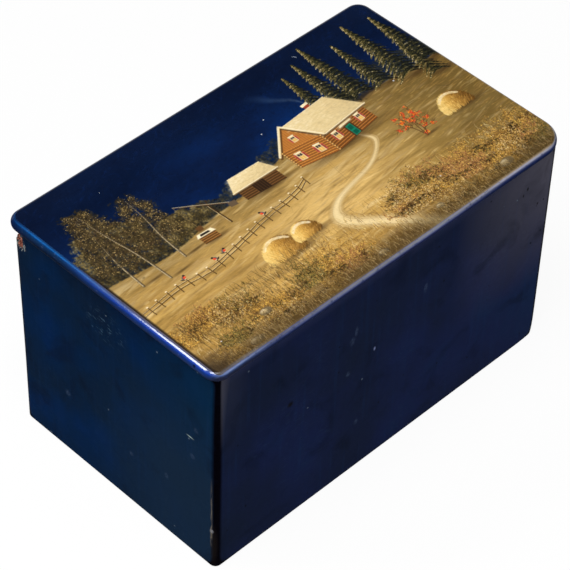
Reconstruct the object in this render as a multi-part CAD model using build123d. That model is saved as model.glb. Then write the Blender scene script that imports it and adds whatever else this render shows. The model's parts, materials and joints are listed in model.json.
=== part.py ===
"""A hinged box of lacquered papier-mache: a wound wall tube on a let-in bottom board, closed by a
flat lid board with a rounded edge that overhangs the walls, on a brass strip hinge along the back.

Millimetres. +Z is up, +X runs along the box to the right and the front faces -Y. The origin is
the centre of the footprint, on the surface that the box stands on.
"""

import os

from build123d import *

# Wall tube, wound round a former, so its corners are round inside and out
BODY_LENGTH = 160.0
BODY_DEPTH = 96.0
BODY_HEIGHT = 92.0
WALL = 5.0
BODY_CORNER_RADIUS = 2.6
INNER_CORNER_RADIUS = 2.0
FOOT_ROUND = 1.0
MOUTH_ROUND = 0.4

# Bottom board, let into a rebate in the foot of the tube and flush with it
BOTTOM_THICKNESS = 5.0
REBATE_WIDTH = 2.5
REBATE_CORNER_RADIUS = 1.5
BOTTOM_CLEARANCE = 0.1

# Lid board, which overhangs the walls all round
LID_THICKNESS = 4.0
OVERHANG_END = 2.6
OVERHANG_FRONT = 2.2
OVERHANG_BACK = 1.8
LID_CORNER_RADIUS = 5.5
LID_WORN_CORNER_RADIUS = 10.5
LID_EDGE_FLAT = 0.1
LID_GAP = 0.2

# Strips glued under the lid, which drop inside the mouth of the tube
STRIP_THICKNESS = 3.0
STRIP_HEIGHT = 5.0
STRIP_CLEARANCE = 0.5
STRIP_LEAD_IN = 0.6
STRIP_ROUND_LIMIT_SHARE = 0.9

# Strip hinge, its leaves let in flush and its barrel half in the walls and half in the lid
HINGE_LENGTH = 150.0
KNUCKLE_COUNT = 11
KNUCKLE_GAP = 0.25
LEAF_WIDTH = 4.2
LEAF_THICKNESS = 0.7
LEAF_CLEARANCE = 0.1
BARREL_RADIUS = 1.4
BARREL_CLEARANCE = 0.25
PIN_RADIUS = 0.6
PIN_CLEARANCE = 0.05

# Brass nails with sunk heads, one row in each leaf
NAIL_COUNT = 7
NAIL_END_INSET = 12.0
NAIL_SHANK_RADIUS = 0.45
NAIL_HEAD_RADIUS = 0.9
NAIL_HEAD_DEPTH = 0.4
NAIL_CLEARANCE = 0.03
BODY_NAIL_LENGTH = 7.0
LID_NAIL_LENGTH = 2.8

# One overrun serves every cut that has to pass right through a face
CUT_OVERRUN = 1.0

# Places that follow from the sizes above
LID_LENGTH = BODY_LENGTH + 2 * OVERHANG_END
LID_DEPTH = BODY_DEPTH + OVERHANG_FRONT + OVERHANG_BACK
LID_UNDERSIDE = BODY_HEIGHT + LID_GAP
LID_EDGE_RADIUS = (LID_THICKNESS - LID_EDGE_FLAT) / 2
BODY_Y = (OVERHANG_FRONT - OVERHANG_BACK) / 2
BACK_FACE_Y = BODY_Y + BODY_DEPTH / 2
CAVITY_LENGTH = BODY_LENGTH - 2 * WALL
CAVITY_DEPTH = BODY_DEPTH - 2 * WALL
HINGE_AXIS_Y = BACK_FACE_Y
HINGE_AXIS_Z = (BODY_HEIGHT + LID_UNDERSIDE) / 2
LEAF_FRONT_Y = HINGE_AXIS_Y - LEAF_WIDTH
LEAF_BACK_Y = HINGE_AXIS_Y - BARREL_RADIUS - BARREL_CLEARANCE
NAIL_Y = (LEAF_FRONT_Y + LEAF_BACK_Y) / 2
KNUCKLE_PITCH = HINGE_LENGTH / KNUCKLE_COUNT


def slab(length, depth, radius, low, high):
    """A round-cornered rectangle about the body's middle, from one height to another."""
    outline = RectangleRounded(length, depth, radius)
    return Pos(0, BODY_Y, low) * extrude(outline, high - low)


def block(x, y, z):
    """A box from three (low, high) pairs."""
    size = [high - low for low, high in (x, y, z)]
    centre = [(high + low) / 2 for low, high in (x, y, z)]
    return Pos(*centre) * Box(*size)


def rod(radius, x_low, x_high):
    """A round bar along the hinge's axis."""
    bar = Cylinder(radius, x_high - x_low, rotation=(0, 90, 0))
    return Pos((x_low + x_high) / 2, HINGE_AXIS_Y, HINGE_AXIS_Z) * bar


def rim(shape, end):
    """The edges of a shape at its foot (end -1) or at its top (end +1)."""
    return shape.edges().group_by(Axis.Z)[last_if(end > 0)]


def last_if(wanted):
    """The index of a list's last item if that is wanted, and otherwise of its first."""
    return -1 if wanted else 0


def nail_places():
    """Where the nails of one leaf stand along the hinge."""
    span = HINGE_LENGTH - 2 * NAIL_END_INSET
    return [-span / 2 + span * i / (NAIL_COUNT - 1) for i in range(NAIL_COUNT)]


def nail(face_z, length, into, clearance=0.0):
    """One nail, or with a clearance its hole, whose sunk head is flush with a leaf's face.

    into is -1 for a nail that goes down into the walls, and +1 for one that goes up into the lid.
    """
    shank_radius = NAIL_SHANK_RADIUS + clearance
    head_radius = NAIL_HEAD_RADIUS + clearance
    reach = length + clearance
    up = (Align.CENTER, Align.CENTER, Align.MIN)
    head = Cone(head_radius, shank_radius, NAIL_HEAD_DEPTH, align=up)
    shank = Cylinder(shank_radius, reach, align=up)
    shape = head + shank
    if into < 0:
        shape = Rot(180, 0, 0) * shape
    return Pos(0, NAIL_Y, face_z) * shape


def nails(face_z, length, into, clearance=0.0):
    """A row of nails, or of their holes."""
    one = nail(face_z, length, into, clearance)
    return [Pos(x, 0, 0) * one for x in nail_places()]


def hinge_recess(face_z, into):
    """What is cut away for one leaf and for the half of the barrel on its side."""
    half = HINGE_LENGTH / 2 + LEAF_CLEARANCE
    floor_z = face_z + into * LEAF_THICKNESS
    open_z = face_z - into * CUT_OVERRUN
    bed = block(
        (-half, half),
        (LEAF_FRONT_Y - LEAF_CLEARANCE, HINGE_AXIS_Y),
        (min(floor_z, open_z), max(floor_z, open_z)),
    )
    return bed + rod(BARREL_RADIUS + BARREL_CLEARANCE, -half, half)


def wall_tube():
    """The four walls in one wound tube, open at the top and rebated at the foot."""
    tube = slab(BODY_LENGTH, BODY_DEPTH, BODY_CORNER_RADIUS, 0, BODY_HEIGHT)
    tube = fillet(rim(tube, -1), FOOT_ROUND)
    tube = fillet(rim(tube, +1), MOUTH_ROUND)
    tube -= slab(
        CAVITY_LENGTH,
        CAVITY_DEPTH,
        INNER_CORNER_RADIUS,
        -CUT_OVERRUN,
        BODY_HEIGHT + CUT_OVERRUN,
    )
    tube -= slab(
        CAVITY_LENGTH + 2 * REBATE_WIDTH,
        CAVITY_DEPTH + 2 * REBATE_WIDTH,
        REBATE_CORNER_RADIUS,
        -CUT_OVERRUN,
        BOTTOM_THICKNESS,
    )
    tube -= hinge_recess(BODY_HEIGHT, -1)
    for hole in nails(BODY_HEIGHT, BODY_NAIL_LENGTH, -1, NAIL_CLEARANCE):
        tube -= hole
    return tube


def bottom_board():
    """The board that closes the foot, with the tube's inner ledge on top of its margin."""
    return slab(
        CAVITY_LENGTH + 2 * (REBATE_WIDTH - BOTTOM_CLEARANCE),
        CAVITY_DEPTH + 2 * (REBATE_WIDTH - BOTTOM_CLEARANCE),
        REBATE_CORNER_RADIUS,
        0,
        BOTTOM_THICKNESS,
    )


def towards_front_right(vertex):
    """How far a corner lies towards the front right."""
    return vertex.X - vertex.Y


def lid_plan():
    """The lid's outline, whose front right corner is worn rounder than the other three."""
    plan = Rectangle(LID_LENGTH, LID_DEPTH)
    plan = fillet(plan.vertices().sort_by(towards_front_right)[:-1], LID_CORNER_RADIUS)
    return fillet(plan.vertices().sort_by(towards_front_right)[-1], LID_WORN_CORNER_RADIUS)


def lid_board():
    """The flat lid, with a half-round edge and its half of the hinge recess."""
    board = Pos(0, 0, LID_UNDERSIDE) * extrude(lid_plan(), LID_THICKNESS)
    board = fillet(rim(board, +1), LID_EDGE_RADIUS)
    board = fillet(rim(board, -1), LID_EDGE_RADIUS)
    board -= hinge_recess(LID_UNDERSIDE, +1)
    for hole in nails(LID_UNDERSIDE, LID_NAIL_LENGTH, +1, NAIL_CLEARANCE):
        board -= hole
    return board


def strip_height():
    """The heights between which the strips under the lid lie."""
    return LID_UNDERSIDE - STRIP_HEIGHT, LID_UNDERSIDE


def long_strip(side):
    """The strip along the front wall (side -1) or the back wall (side +1), ends rounded."""
    half = CAVITY_LENGTH / 2 - STRIP_CLEARANCE
    outer_y = BODY_Y + side * (CAVITY_DEPTH / 2 - STRIP_CLEARANCE)
    inner_y = outer_y - side * STRIP_THICKNESS
    low_y, high_y = min(outer_y, inner_y), max(outer_y, inner_y)
    strip = block((-half, half), (low_y, high_y), strip_height())
    outside = last_if(side > 0)
    corners = strip.edges().filter_by(Axis.Z).group_by(Axis.Y)[outside]
    strip = fillet(corners, min(INNER_CORNER_RADIUS, STRIP_THICKNESS * STRIP_ROUND_LIMIT_SHARE))
    lower = rim(strip, -1).filter_by(Axis.X).sort_by(Axis.Y)
    return chamfer(lower[outside], STRIP_LEAD_IN)


def end_strip(side):
    """The strip along the left wall (side -1) or the right wall (side +1), between the long ones."""
    outer_x = side * (CAVITY_LENGTH / 2 - STRIP_CLEARANCE)
    inner_x = outer_x - side * STRIP_THICKNESS
    half = CAVITY_DEPTH / 2 - STRIP_CLEARANCE - STRIP_THICKNESS
    low_x, high_x = min(outer_x, inner_x), max(outer_x, inner_x)
    strip = block((low_x, high_x), (BODY_Y - half, BODY_Y + half), strip_height())
    lower = rim(strip, -1).filter_by(Axis.Y).sort_by(Axis.X)
    return chamfer(lower[last_if(side > 0)], STRIP_LEAD_IN)


def knuckle_spans(first):
    """The (low, high) of every second knuckle along the hinge, from the first one given."""
    left = -HINGE_LENGTH / 2
    return [
        (
            left + KNUCKLE_PITCH * i + KNUCKLE_GAP / 2,
            left + KNUCKLE_PITCH * (i + 1) - KNUCKLE_GAP / 2,
        )
        for i in range(first, KNUCKLE_COUNT, 2)
    ]


def leaf(face_z, into, first_knuckle, nail_length):
    """One leaf of the hinge: a strip with every second knuckle of the barrel on its back edge."""
    far_z = face_z + into * LEAF_THICKNESS
    z = (min(face_z, far_z), max(face_z, far_z))
    half = HINGE_LENGTH / 2
    shape = block((-half, half), (LEAF_FRONT_Y, LEAF_BACK_Y), z)
    for low, high in knuckle_spans(first_knuckle):
        shape += block((low, high), (LEAF_BACK_Y, HINGE_AXIS_Y), z)
        shape += rod(BARREL_RADIUS, low, high)
    shape -= rod(PIN_RADIUS + PIN_CLEARANCE, -half - CUT_OVERRUN, half + CUT_OVERRUN)
    for hole in nails(face_z, nail_length, into, NAIL_CLEARANCE):
        shape -= hole
    return shape


def hinge_body_leaf():
    """The leaf on the back wall, which holds both end knuckles."""
    return leaf(BODY_HEIGHT, -1, 0, BODY_NAIL_LENGTH)


def hinge_lid_leaf():
    """The leaf in the lid's underside."""
    return leaf(LID_UNDERSIDE, +1, 1, LID_NAIL_LENGTH)


def hinge_pin():
    """The wire that runs through every knuckle."""
    return rod(PIN_RADIUS, -HINGE_LENGTH / 2, HINGE_LENGTH / 2)


def hinge_body_nails():
    """The nails that hold the lower leaf, as separate solids."""
    return Compound(children=nails(BODY_HEIGHT, BODY_NAIL_LENGTH, -1))


def hinge_lid_nails():
    """The shorter nails that hold the upper leaf, as separate solids."""
    return Compound(children=nails(LID_UNDERSIDE, LID_NAIL_LENGTH, +1))


PARTS = {
    "wall_tube": wall_tube,
    "bottom_board": bottom_board,
    "lid_board": lid_board,
    "lid_strip_front": lambda: long_strip(-1),
    "lid_strip_back": lambda: long_strip(+1),
    "lid_strip_left": lambda: end_strip(-1),
    "lid_strip_right": lambda: end_strip(+1),
    "hinge_body_leaf": hinge_body_leaf,
    "hinge_lid_leaf": hinge_lid_leaf,
    "hinge_pin": hinge_pin,
    "hinge_body_nails": hinge_body_nails,
    "hinge_lid_nails": hinge_lid_nails,
}

os.makedirs("parts", exist_ok=True)
for node, make in PARTS.items():
    export_step(make(), f"parts/{node}.step")
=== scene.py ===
import json
import math

import bpy
import numpy as np
from mathutils import Matrix, Vector


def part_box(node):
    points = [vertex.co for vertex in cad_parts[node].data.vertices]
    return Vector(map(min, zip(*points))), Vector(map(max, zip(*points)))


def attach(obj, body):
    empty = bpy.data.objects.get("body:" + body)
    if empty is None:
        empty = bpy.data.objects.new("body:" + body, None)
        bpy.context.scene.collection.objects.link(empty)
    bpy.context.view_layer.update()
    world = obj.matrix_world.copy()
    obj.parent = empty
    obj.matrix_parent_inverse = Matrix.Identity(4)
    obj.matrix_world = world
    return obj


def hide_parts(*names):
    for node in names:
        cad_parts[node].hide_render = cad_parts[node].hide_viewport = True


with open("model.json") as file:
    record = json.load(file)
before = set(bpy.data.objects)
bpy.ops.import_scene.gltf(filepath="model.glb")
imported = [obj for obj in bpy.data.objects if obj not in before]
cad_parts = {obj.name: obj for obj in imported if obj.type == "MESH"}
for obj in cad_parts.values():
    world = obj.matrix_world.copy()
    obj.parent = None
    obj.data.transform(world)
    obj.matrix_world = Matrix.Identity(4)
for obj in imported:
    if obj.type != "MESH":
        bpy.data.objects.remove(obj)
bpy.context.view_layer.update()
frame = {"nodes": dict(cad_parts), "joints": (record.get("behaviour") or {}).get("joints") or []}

MM = 0.001

# The share of an oval mark's half size that stays full, before it fades
SPOT_CORE = 0.4

# Camera, found by fitting the box's outline to the photograph
CAMERA_PLACE = (-0.451567, -0.433428, 0.670680)
CAMERA_AIM = (0.006527, 0.008004, 0.034058)
CAMERA_ROLL = 2.027
LENS_MM = 161.93
SENSOR_MM = 36.0
CAMERA_SEES = (0.01, 20.0)

# The floor: half its side, how far it lies under the box, and how white it is seen
FLOOR_HALF = 4.0
FLOOR_GAP = 0.1 * MM
FLOOR_GLOW = 0.93

# Walls: the sizes of their solid that the frame's boxes don't give
BODY_CORNER_RADIUS = 2.6 * MM
INNER_CORNER_RADIUS = 2.0 * MM
REBATE_CORNER_RADIUS = 1.5 * MM
WALL = 5.0 * MM
REBATE_WIDTH = 2.5 * MM
BOTTOM_THICKNESS = 5.0 * MM
FOOT_ROUND = 1.0 * MM
MOUTH_ROUND = 0.4 * MM
RECESS_DEPTH = 0.7 * MM
RECESS_CLEARANCE = 0.1 * MM
BARREL_RECESS_RADIUS = 1.65 * MM

# Walls: how finely they are drawn, and how they depart from a perfect tube
SMOOTH_ANGLE = math.radians(35)
WALL_COLUMNS_LONG = 128
WALL_COLUMNS_SHORT = 84
WALL_ROWS = 96
WAVE_HEIGHT = 0.025 * MM
WAVE_LENGTHS = (61 * MM, 38 * MM, 23 * MM, 14 * MM)
WAVE_FADE = 6 * MM
CHIP_DEPTH = 0.95 * MM
CHIP_IN = 1.7 * MM
CHIP_DOWN = 3.2 * MM
CHIP_LONG = 6.0 * MM
CHIP_WIDE = 2.6 * MM
CHIP_LEAN = (0.45, 0.89)
CHIP_WAVE_LENGTHS = (1.1 * MM, 2.3 * MM, 0.6 * MM)
FLARE = 0.85 * MM
FLARE_REACH = 12 * MM
FOOT_CORNER_WEAR = 1.0 * MM
FOOT_WEAR_REACH = 3 * MM
# How far wear, soil and painted shade reach from the upright corners, the foot and the mouth
CORNER_WEAR_AND_SHADE_REACH = 2.2 * MM
FOOT_SOIL_AND_SHADE_REACH = 1.1 * MM
MOUTH_SOIL_AND_SHADE_REACH = 0.8 * MM

# Lid: its rounded edge and corners, and the painted film on its flat
LID_EDGE_RADIUS = 1.95 * MM
LID_CORNER_RADIUS = 5.5 * MM
LID_WORN_CORNER_RADIUS = 10.5 * MM
FILM_NEAR_CORNER_RADIUS = 2.0 * MM
FILM_WRAP = math.radians(33)
FILM_THICKNESS = 0.05 * MM
FILM_SUNK = 0.01 * MM
FILM_RELIEF = 0.012 * MM
FILM_EASE = 20.0 * MM
FILM_SMOOTH_ANGLE = math.radians(60)
BAKE_MARGIN = 0.01
BAKE_UNDER_SIZE = 0.3


def srgb(red, green, blue):
    """A colour in the shader's linear values, from plain sRGB values of 0 to 255."""
    parts = [c / 255 for c in (red, green, blue)]
    return tuple(c / 12.92 if c <= 0.04045 else ((c + 0.055) / 1.055) ** 2.4 for c in parts)


class Nodes:
    """A tree of nodes. Each method adds its nodes and returns what they put out."""

    def __init__(self, tree):
        self.tree = tree

    def put(self, socket, value):
        """Links an output to a socket, or writes a plain value into it."""
        if isinstance(value, bpy.types.NodeSocket):
            self.tree.links.new(value, socket)
        elif isinstance(value, tuple) and len(socket.default_value) == 4:
            socket.default_value = (*value, 1)
        else:
            socket.default_value = value

    def add(self, kind, *values, **named):
        """A node, with values or links for its first inputs in order and for others by name."""
        node = self.tree.nodes.new(kind)
        for socket, value in zip(node.inputs, values):
            self.put(socket, value)
        for name, value in named.items():
            self.put(node.inputs[name.replace("_", " ")], value)
        return node

    def math(self, operation, a, b=0.0, clamp=False):
        """One step of arithmetic on two values."""
        node = self.add("ShaderNodeMath", a, b)
        node.operation = operation
        node.use_clamp = clamp
        return node.outputs[0]

    def times(self, product, *others):
        """The product of several values."""
        for other in others:
            product = self.math("MULTIPLY", product, other)
        return product

    def split(self, vector):
        """The three parts of a vector."""
        return self.add("ShaderNodeSeparateXYZ", vector).outputs[:3]


class Paint(Nodes):
    """One material, with the place and the normal that its nodes start from."""

    def __init__(self, name):
        self.mat = bpy.data.materials.new(name)
        self.mat.use_nodes = True
        super().__init__(self.mat.node_tree)
        self.surface = self.tree.nodes["Principled BSDF"]
        coordinates = self.add("ShaderNodeTexCoord")
        self.place = coordinates.outputs["Object"]
        self.normal = coordinates.outputs["Normal"]
        self.colour = None

    def noise(self, scale, detail=3.0, rough=0.5, where=None, twist=0.0):
        """Cloudy noise from 0 to 1."""
        where = where or self.place
        settings = {"Scale": scale, "Detail": detail, "Roughness": rough, "Distortion": twist}
        return self.add("ShaderNodeTexNoise", Vector=where, **settings).outputs["Fac"]

    def streaks(self, scale, detail, rough, turn=0.0, axis=2):
        """Noise scaled along each axis, and turned about one of them where it runs at a slant."""
        where = self.place
        if turn:
            rotation = [0.0, 0.0, 0.0]
            rotation[axis] = turn
            where = self.add("ShaderNodeMapping", where, Rotation=rotation).outputs[0]
        where = self.add("ShaderNodeMapping", where, Scale=scale).outputs[0]
        return self.noise(1.0, detail, rough, where)

    def cells(self, scale, feature="F1"):
        """Cells of a Voronoi pattern."""
        node = self.add("ShaderNodeTexVoronoi", Vector=self.place, Scale=scale)
        node.feature = feature
        return node

    def ramp(self, value, *stops):
        """A ramp through stops: a position with a grey, or with the sRGB values of a colour."""
        node = self.add("ShaderNodeValToRGB", value)
        elements = node.color_ramp.elements
        while len(elements) < len(stops):
            elements.new(0.5)
        for element, (position, *tone) in zip(elements, stops):
            element.position = position
            element.color = (*(srgb(*tone) if len(tone) == 3 else tone * 3), 1)
        return node.outputs["Color"]

    def span(self, value, start, end):
        """How far a value has come from start to end, from 0 to 1. The end may be the lower."""
        return self.add("ShaderNodeMapRange", value, From_Min=start, From_Max=end).outputs[0]

    def mix(self, a, b, share, blend="MIX"):
        """A colour laid over another by a share."""
        node = self.tree.nodes.new("ShaderNodeMix")
        node.data_type = "RGBA"
        node.blend_type = blend
        for index, value in ((0, share), (6, a), (7, b)):
            self.put(node.inputs[index], value)
        return node.outputs[2]

    def over(self, under, tone, *shares):
        """A tone of sRGB values laid over a colour, by the product of the shares."""
        return self.mix(under, srgb(*tone), self.times(*shares))

    def lay(self, tone, *shares):
        """Lays a tone of sRGB values over the material's colour."""
        self.colour = self.over(self.colour, tone, *shares)

    def blend(self, colour, share, kind="MIX"):
        """Lays another output over the material's colour, or multiplies by it."""
        self.colour = self.mix(self.colour, colour, share, kind)

    def attribute(self, name, output="Fac"):
        """A value stored on the mesh's points."""
        node = self.add("ShaderNodeAttribute")
        node.attribute_name = name
        return node.outputs[output]

    def bump(self, height, distance, under=None):
        """Relief of so many metres, over the relief under it."""
        node = self.add("ShaderNodeBump", Height=height, Distance=distance, Strength=1.0)
        if under is not None:
            self.put(node.inputs["Normal"], under)
        return node.outputs[0]

    def specks(self, scale, size, share):
        """Small round spots: one in some of the cells."""
        node = self.cells(scale)
        near = self.math("LESS_THAN", node.outputs["Distance"], size)
        return self.times(near, self.math("LESS_THAN", self.split(node.outputs["Color"])[0], share))

    def spot(self, place, size):
        """An oval mark, its place and half sizes in millimetres: 1 inside it, 0 outside."""
        vector = self.place
        for operation, values in (("SUBTRACT", place), ("DIVIDE", size), ("LENGTH", (0, 0, 0))):
            node = self.add("ShaderNodeVectorMath", vector, [c * MM for c in values])
            node.operation = operation
            vector = node.outputs[0]
        return self.span(node.outputs["Value"], 1.0, SPOT_CORE)

    def spots(self, *marks):
        """Several oval marks together, each a place and its half sizes."""
        shade = 0.0
        for mark in marks:
            shade = self.math("MAXIMUM", self.spot(*mark), shade)
        return shade

    def gloss(self, weight, normal, rough, index):
        """A clear coat where the weight says. Its roughness and index are the same all over."""
        values = {"Weight": weight, "Normal": normal, "Roughness": rough, "IOR": index}
        for name, value in values.items():
            self.put(self.surface.inputs["Coat " + name], value)

    def done(self, rough, normal, level=0.5, metal=0.0):
        """Finishes the material. The level and metal are the same all over it."""
        values = {
            "Base Color": self.colour,
            "Roughness": rough,
            "Normal": normal,
            "Specular IOR Level": level,
            "Metallic": metal,
        }
        for name, value in values.items():
            self.put(self.surface.inputs[name], value)
        return self.mat


def blue_lacquer():
    """The walls' lacquer: navy over blue, cloudy, with painted reflections, sheen and highlights on its
    faces, wear, soil and painted shade at the corners, foot and mouth, scratches and specks.
    """
    p = Paint("blue_lacquer")
    x, y, z = p.split(p.place)
    axis = p.split(p.normal)
    # The left face: navy, with a painted teal reflection towards the near corner and a greyer painted
    # reflection low down near it
    left = p.ramp(
        p.noise(24, 4, 0.55), (0.3, 8, 21, 40), (0.45, 4, 24, 47), (0.58, 1, 26, 57), (0.72, 1, 29, 70),
    )
    left = p.over(left, (5, 36, 61), p.span(y, -0.01, -0.047), p.span(z, -0.05, 0.09), 0.75)
    left = p.over(left, (16, 33, 52), p.span(y, 0.012, -0.024), p.span(z, 0.078, 0.04), 0.85)
    # The front face: a greyer violet navy, which holds a painted reflection
    front = p.ramp(
        p.noise(18, 4, 0.55), (0.3, 15, 23, 41), (0.45, 16, 24, 48), (0.58, 17, 26, 57),
        (0.72, 14, 31, 60),
    )
    # Painted sheen and highlights: a paler bloom at the right, a haze at the near edge, and a pale band
    # just under the lid
    front = p.over(front, (74, 72, 82), p.span(x, 0.03, 0.078), p.span(z, 0.03, 0.088), 0.95)
    front = p.over(front, (31, 36, 53), p.span(x, -0.065, -0.073), p.span(z, 0.052, 0.088), 0.85)
    front = p.over(front, (38, 44, 72), p.span(z, 0.0868, 0.0915), p.span(x, 0.062, 0.034), 0.8)
    # Left and front faces take different tones, painted for the different light and reflection on each
    p.colour = p.mix(left, front, p.span(p.math("ABSOLUTE", axis[1]), 0.35, 0.8))
    cloud = p.noise(60, 3, 0.55, twist=0.8)
    p.lay((4, 9, 22), p.ramp(cloud, (0.3, 0.4), (0.45, 0.0)))
    polish = p.streaks((700, 700, 26), 4, 0.6)
    p.lay((18, 44, 80), p.ramp(polish, (0.55, 0.0), (0.75, 0.22)))
    grit = p.noise(420, 4, 0.7)
    p.lay((34, 58, 92), p.specks(330, 0.16, 0.16), p.span(axis[0], -0.5, -0.8), 0.55)
    pits = p.specks(240, 0.1, 0.2)
    p.lay((3, 5, 9), pits, 0.8)
    p.lay((110, 124, 136), p.specks(150, 0.055, 0.24), 0.4)
    slant = p.streaks((300, 300, 2400), 2, 0.5, -0.26, 0)
    patch = p.times(p.ramp(p.noise(34, 1), (0.58, 0.0), (0.64, 1.0)), 0.1)
    patch = p.math("MAXIMUM", patch, p.spot((-80, 4, 77), (4, 11, 9)))
    scratch = p.times(p.ramp(slant, (0.62, 0.0), (0.66, 1.0)), patch)
    p.lay((80, 112, 138), scratch, 0.5)
    pale = p.spot((-80, -35.7, 56.7), (1, 2.1, 0.3))
    p.lay((146, 164, 158), pale, 0.85)
    dents = p.spots(
        ((-46.9, -47.8, 56.7), (1.7, 1, 1.5)), ((65.6, -47.8, 80.3), (0.7, 1, 1.2)),
        ((63.7, -47.8, 78.3), (0.5, 1, 0.9)), ((72.1, -47.8, 69.6), (0.6, 1, 0.8)),
    )
    p.lay((11, 9, 8), dents, 0.85)
    smears = p.spots(
        ((-16.9, -47.8, 69.4), (1.1, 1, 2.6)), ((-18.7, -47.8, 65.9), (1.5, 1, 2.2)),
        ((-19.9, -47.8, 51.2), (1.3, 1, 1.5)), ((-14.6, -47.8, 23.7), (1.2, 1, 1.5)),
        ((16.3, -47.8, 66.9), (1.2, 1, 2.6)), ((-80, 24.7, 29.7), (1, 1.7, 1.7)),
        ((-80, -36.8, 48.1), (1, 1.4, 1.5)), ((-80, -38.5, 61.8), (1, 1.1, 1.5)),
        ((-80, -7.1, 24.9), (1, 1.3, 1.3)), ((-80, -24.3, 28.2), (1, 1.2, 1.6)),
    )
    broken = p.ramp(p.noise(1100, 3, 0.7), (0.4, 0.06), (0.6, 0.42))
    p.lay((60, 74, 98), smears, broken)
    p.lay((104, 114, 150), p.spot((-7.5, -47.8, 54.6), (0.6, 1, 1.1)), 0.9)
    # Soil and painted shade: darker along the upright corners, the foot and the mouth under the lid, more
    # on faces turned to the front and less near the top
    wear_and_shade = p.attribute("wear_and_shade")
    ahead = p.span(axis[1], -0.45, -0.85)
    high = p.span(z, 0.07, 0.09)
    dark = p.math("ADD", wear_and_shade, p.times(ahead, 0.08))
    dark = p.math("SUBTRACT", dark, p.times(high, 0.05))
    soil_and_painted_shade = p.times(p.span(dark, 0.33, 0.49), p.ramp(grit, (0.2, 0.85), (0.5, 1.0)))
    p.lay((3, 2, 6), soil_and_painted_shade)
    # A painted sheen: a pale strip beside the near upright corner, widest at the top, on the faces turned
    # to the front
    rise = p.span(z, 0.058, 0.09)
    reach = p.math("ADD", p.times(rise, rise, 0.0024), 0.0011)
    glow = p.math("SUBTRACT", 1.0, p.math("DIVIDE", p.math("ADD", x, 0.0774), reach), clamp=True)
    p.lay((60, 60, 70), glow, rise, p.span(axis[1], -0.94, -0.995), 0.85)
    flaking = p.ramp(p.streaks((900, 900, 160), 4, 0.7), (0.42, 0.0), (0.52, 1.0))
    low = p.ramp(p.span(z, 0.0, 0.05), (0.2, 0.0), (0.3, 1.0), (0.5, 0.8), (0.84, 0.15), (0.9, 0.0))
    corner = p.ramp(wear_and_shade, (0.3, 0.0), (0.37, 1.0), (0.44, 0.0))
    worn = p.times(corner, flaking, low, p.span(axis[0], -0.85, -0.96), p.math("LESS_THAN", y, 0.0))
    fleck = p.times(p.spot((-79.9, -45.8, 18.3), (1, 0.9, 1.1)), p.ramp(grit, (0.35, 0.5), (0.5, 1.0)))
    p.lay((24, 20, 19), p.spot((-79.8, -46.6, 11), (2, 1.6, 12)), 0.6)
    p.lay((118, 108, 92), worn, 0.8)
    p.lay((146, 146, 150), fleck, 0.85)
    chip = p.attribute("chip")
    ground = p.ramp(
        p.noise(700, 4, 0.7), (0.3, 52, 26, 22), (0.45, 112, 64, 52), (0.6, 160, 106, 90),
        (0.72, 196, 170, 156),
    )
    bare = p.ramp(chip, (0.42, 0.0), (0.5, 1.0))
    lip = p.ramp(chip, (0.18, 0.0), (0.32, 0.9), (0.46, 0.0))
    p.lay((150, 156, 152), lip, p.ramp(grit, (0.44, 0.0), (0.58, 1.0)))
    p.lay((104, 118, 112), p.spot((-80, 40, 89), (2, 8, 3)), p.specks(1100, 0.3, 0.3), 0.7)
    p.blend(ground, bare)
    rough = p.math("ADD", p.ramp(p.noise(90, 4, 0.6), (0.3, 0.2), (0.7, 0.34)), p.times(soil_and_painted_shade, 0.2))
    rough = p.math("ADD", rough, p.times(bare, 0.55), clamp=True)
    normal = p.bump(p.noise(260, 3, 0.5), 0.012 * MM)
    normal = p.bump(p.noise(1500, 2, 0.6), 0.004 * MM, normal)
    marks = p.math("ADD", p.math("ADD", scratch, pale), p.times(p.math("MAXIMUM", pits, dents), 2.0))
    normal = p.bump(marks, -0.01 * MM, normal)
    normal = p.bump(p.times(bare, p.noise(1400, 3, 0.7)), 0.12 * MM, normal)
    return p.done(rough, normal, level=0.002)


def cinnabar(p):
    """The red lacquer's colour, brushed on and rubbed darker in places, and its brush streaks."""
    colour = p.ramp(p.noise(40, 5, 0.6), (0.3, 98, 20, 14), (0.5, 132, 28, 18), (0.7, 156, 40, 24))
    streak = p.streaks((60, 900, 900), 4, 0.6)
    colour = p.over(colour, (78, 14, 10), p.ramp(streak, (0.3, 0.6), (0.5, 0.0)))
    return p.over(colour, (30, 10, 8), p.specks(260, 0.09, 0.2), 0.8), streak


def red_lacquer(name):
    """The inside: cinnabar lacquer with brush marks."""
    p = Paint(name)
    p.colour, streak = cinnabar(p)
    rough = p.ramp(p.noise(120, 3), (0.3, 0.24), (0.7, 0.44))
    normal = p.bump(streak, 0.015 * MM)
    normal = p.bump(p.noise(700, 3), 0.008 * MM, normal)
    return p.done(rough, normal, level=0.35)


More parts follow.
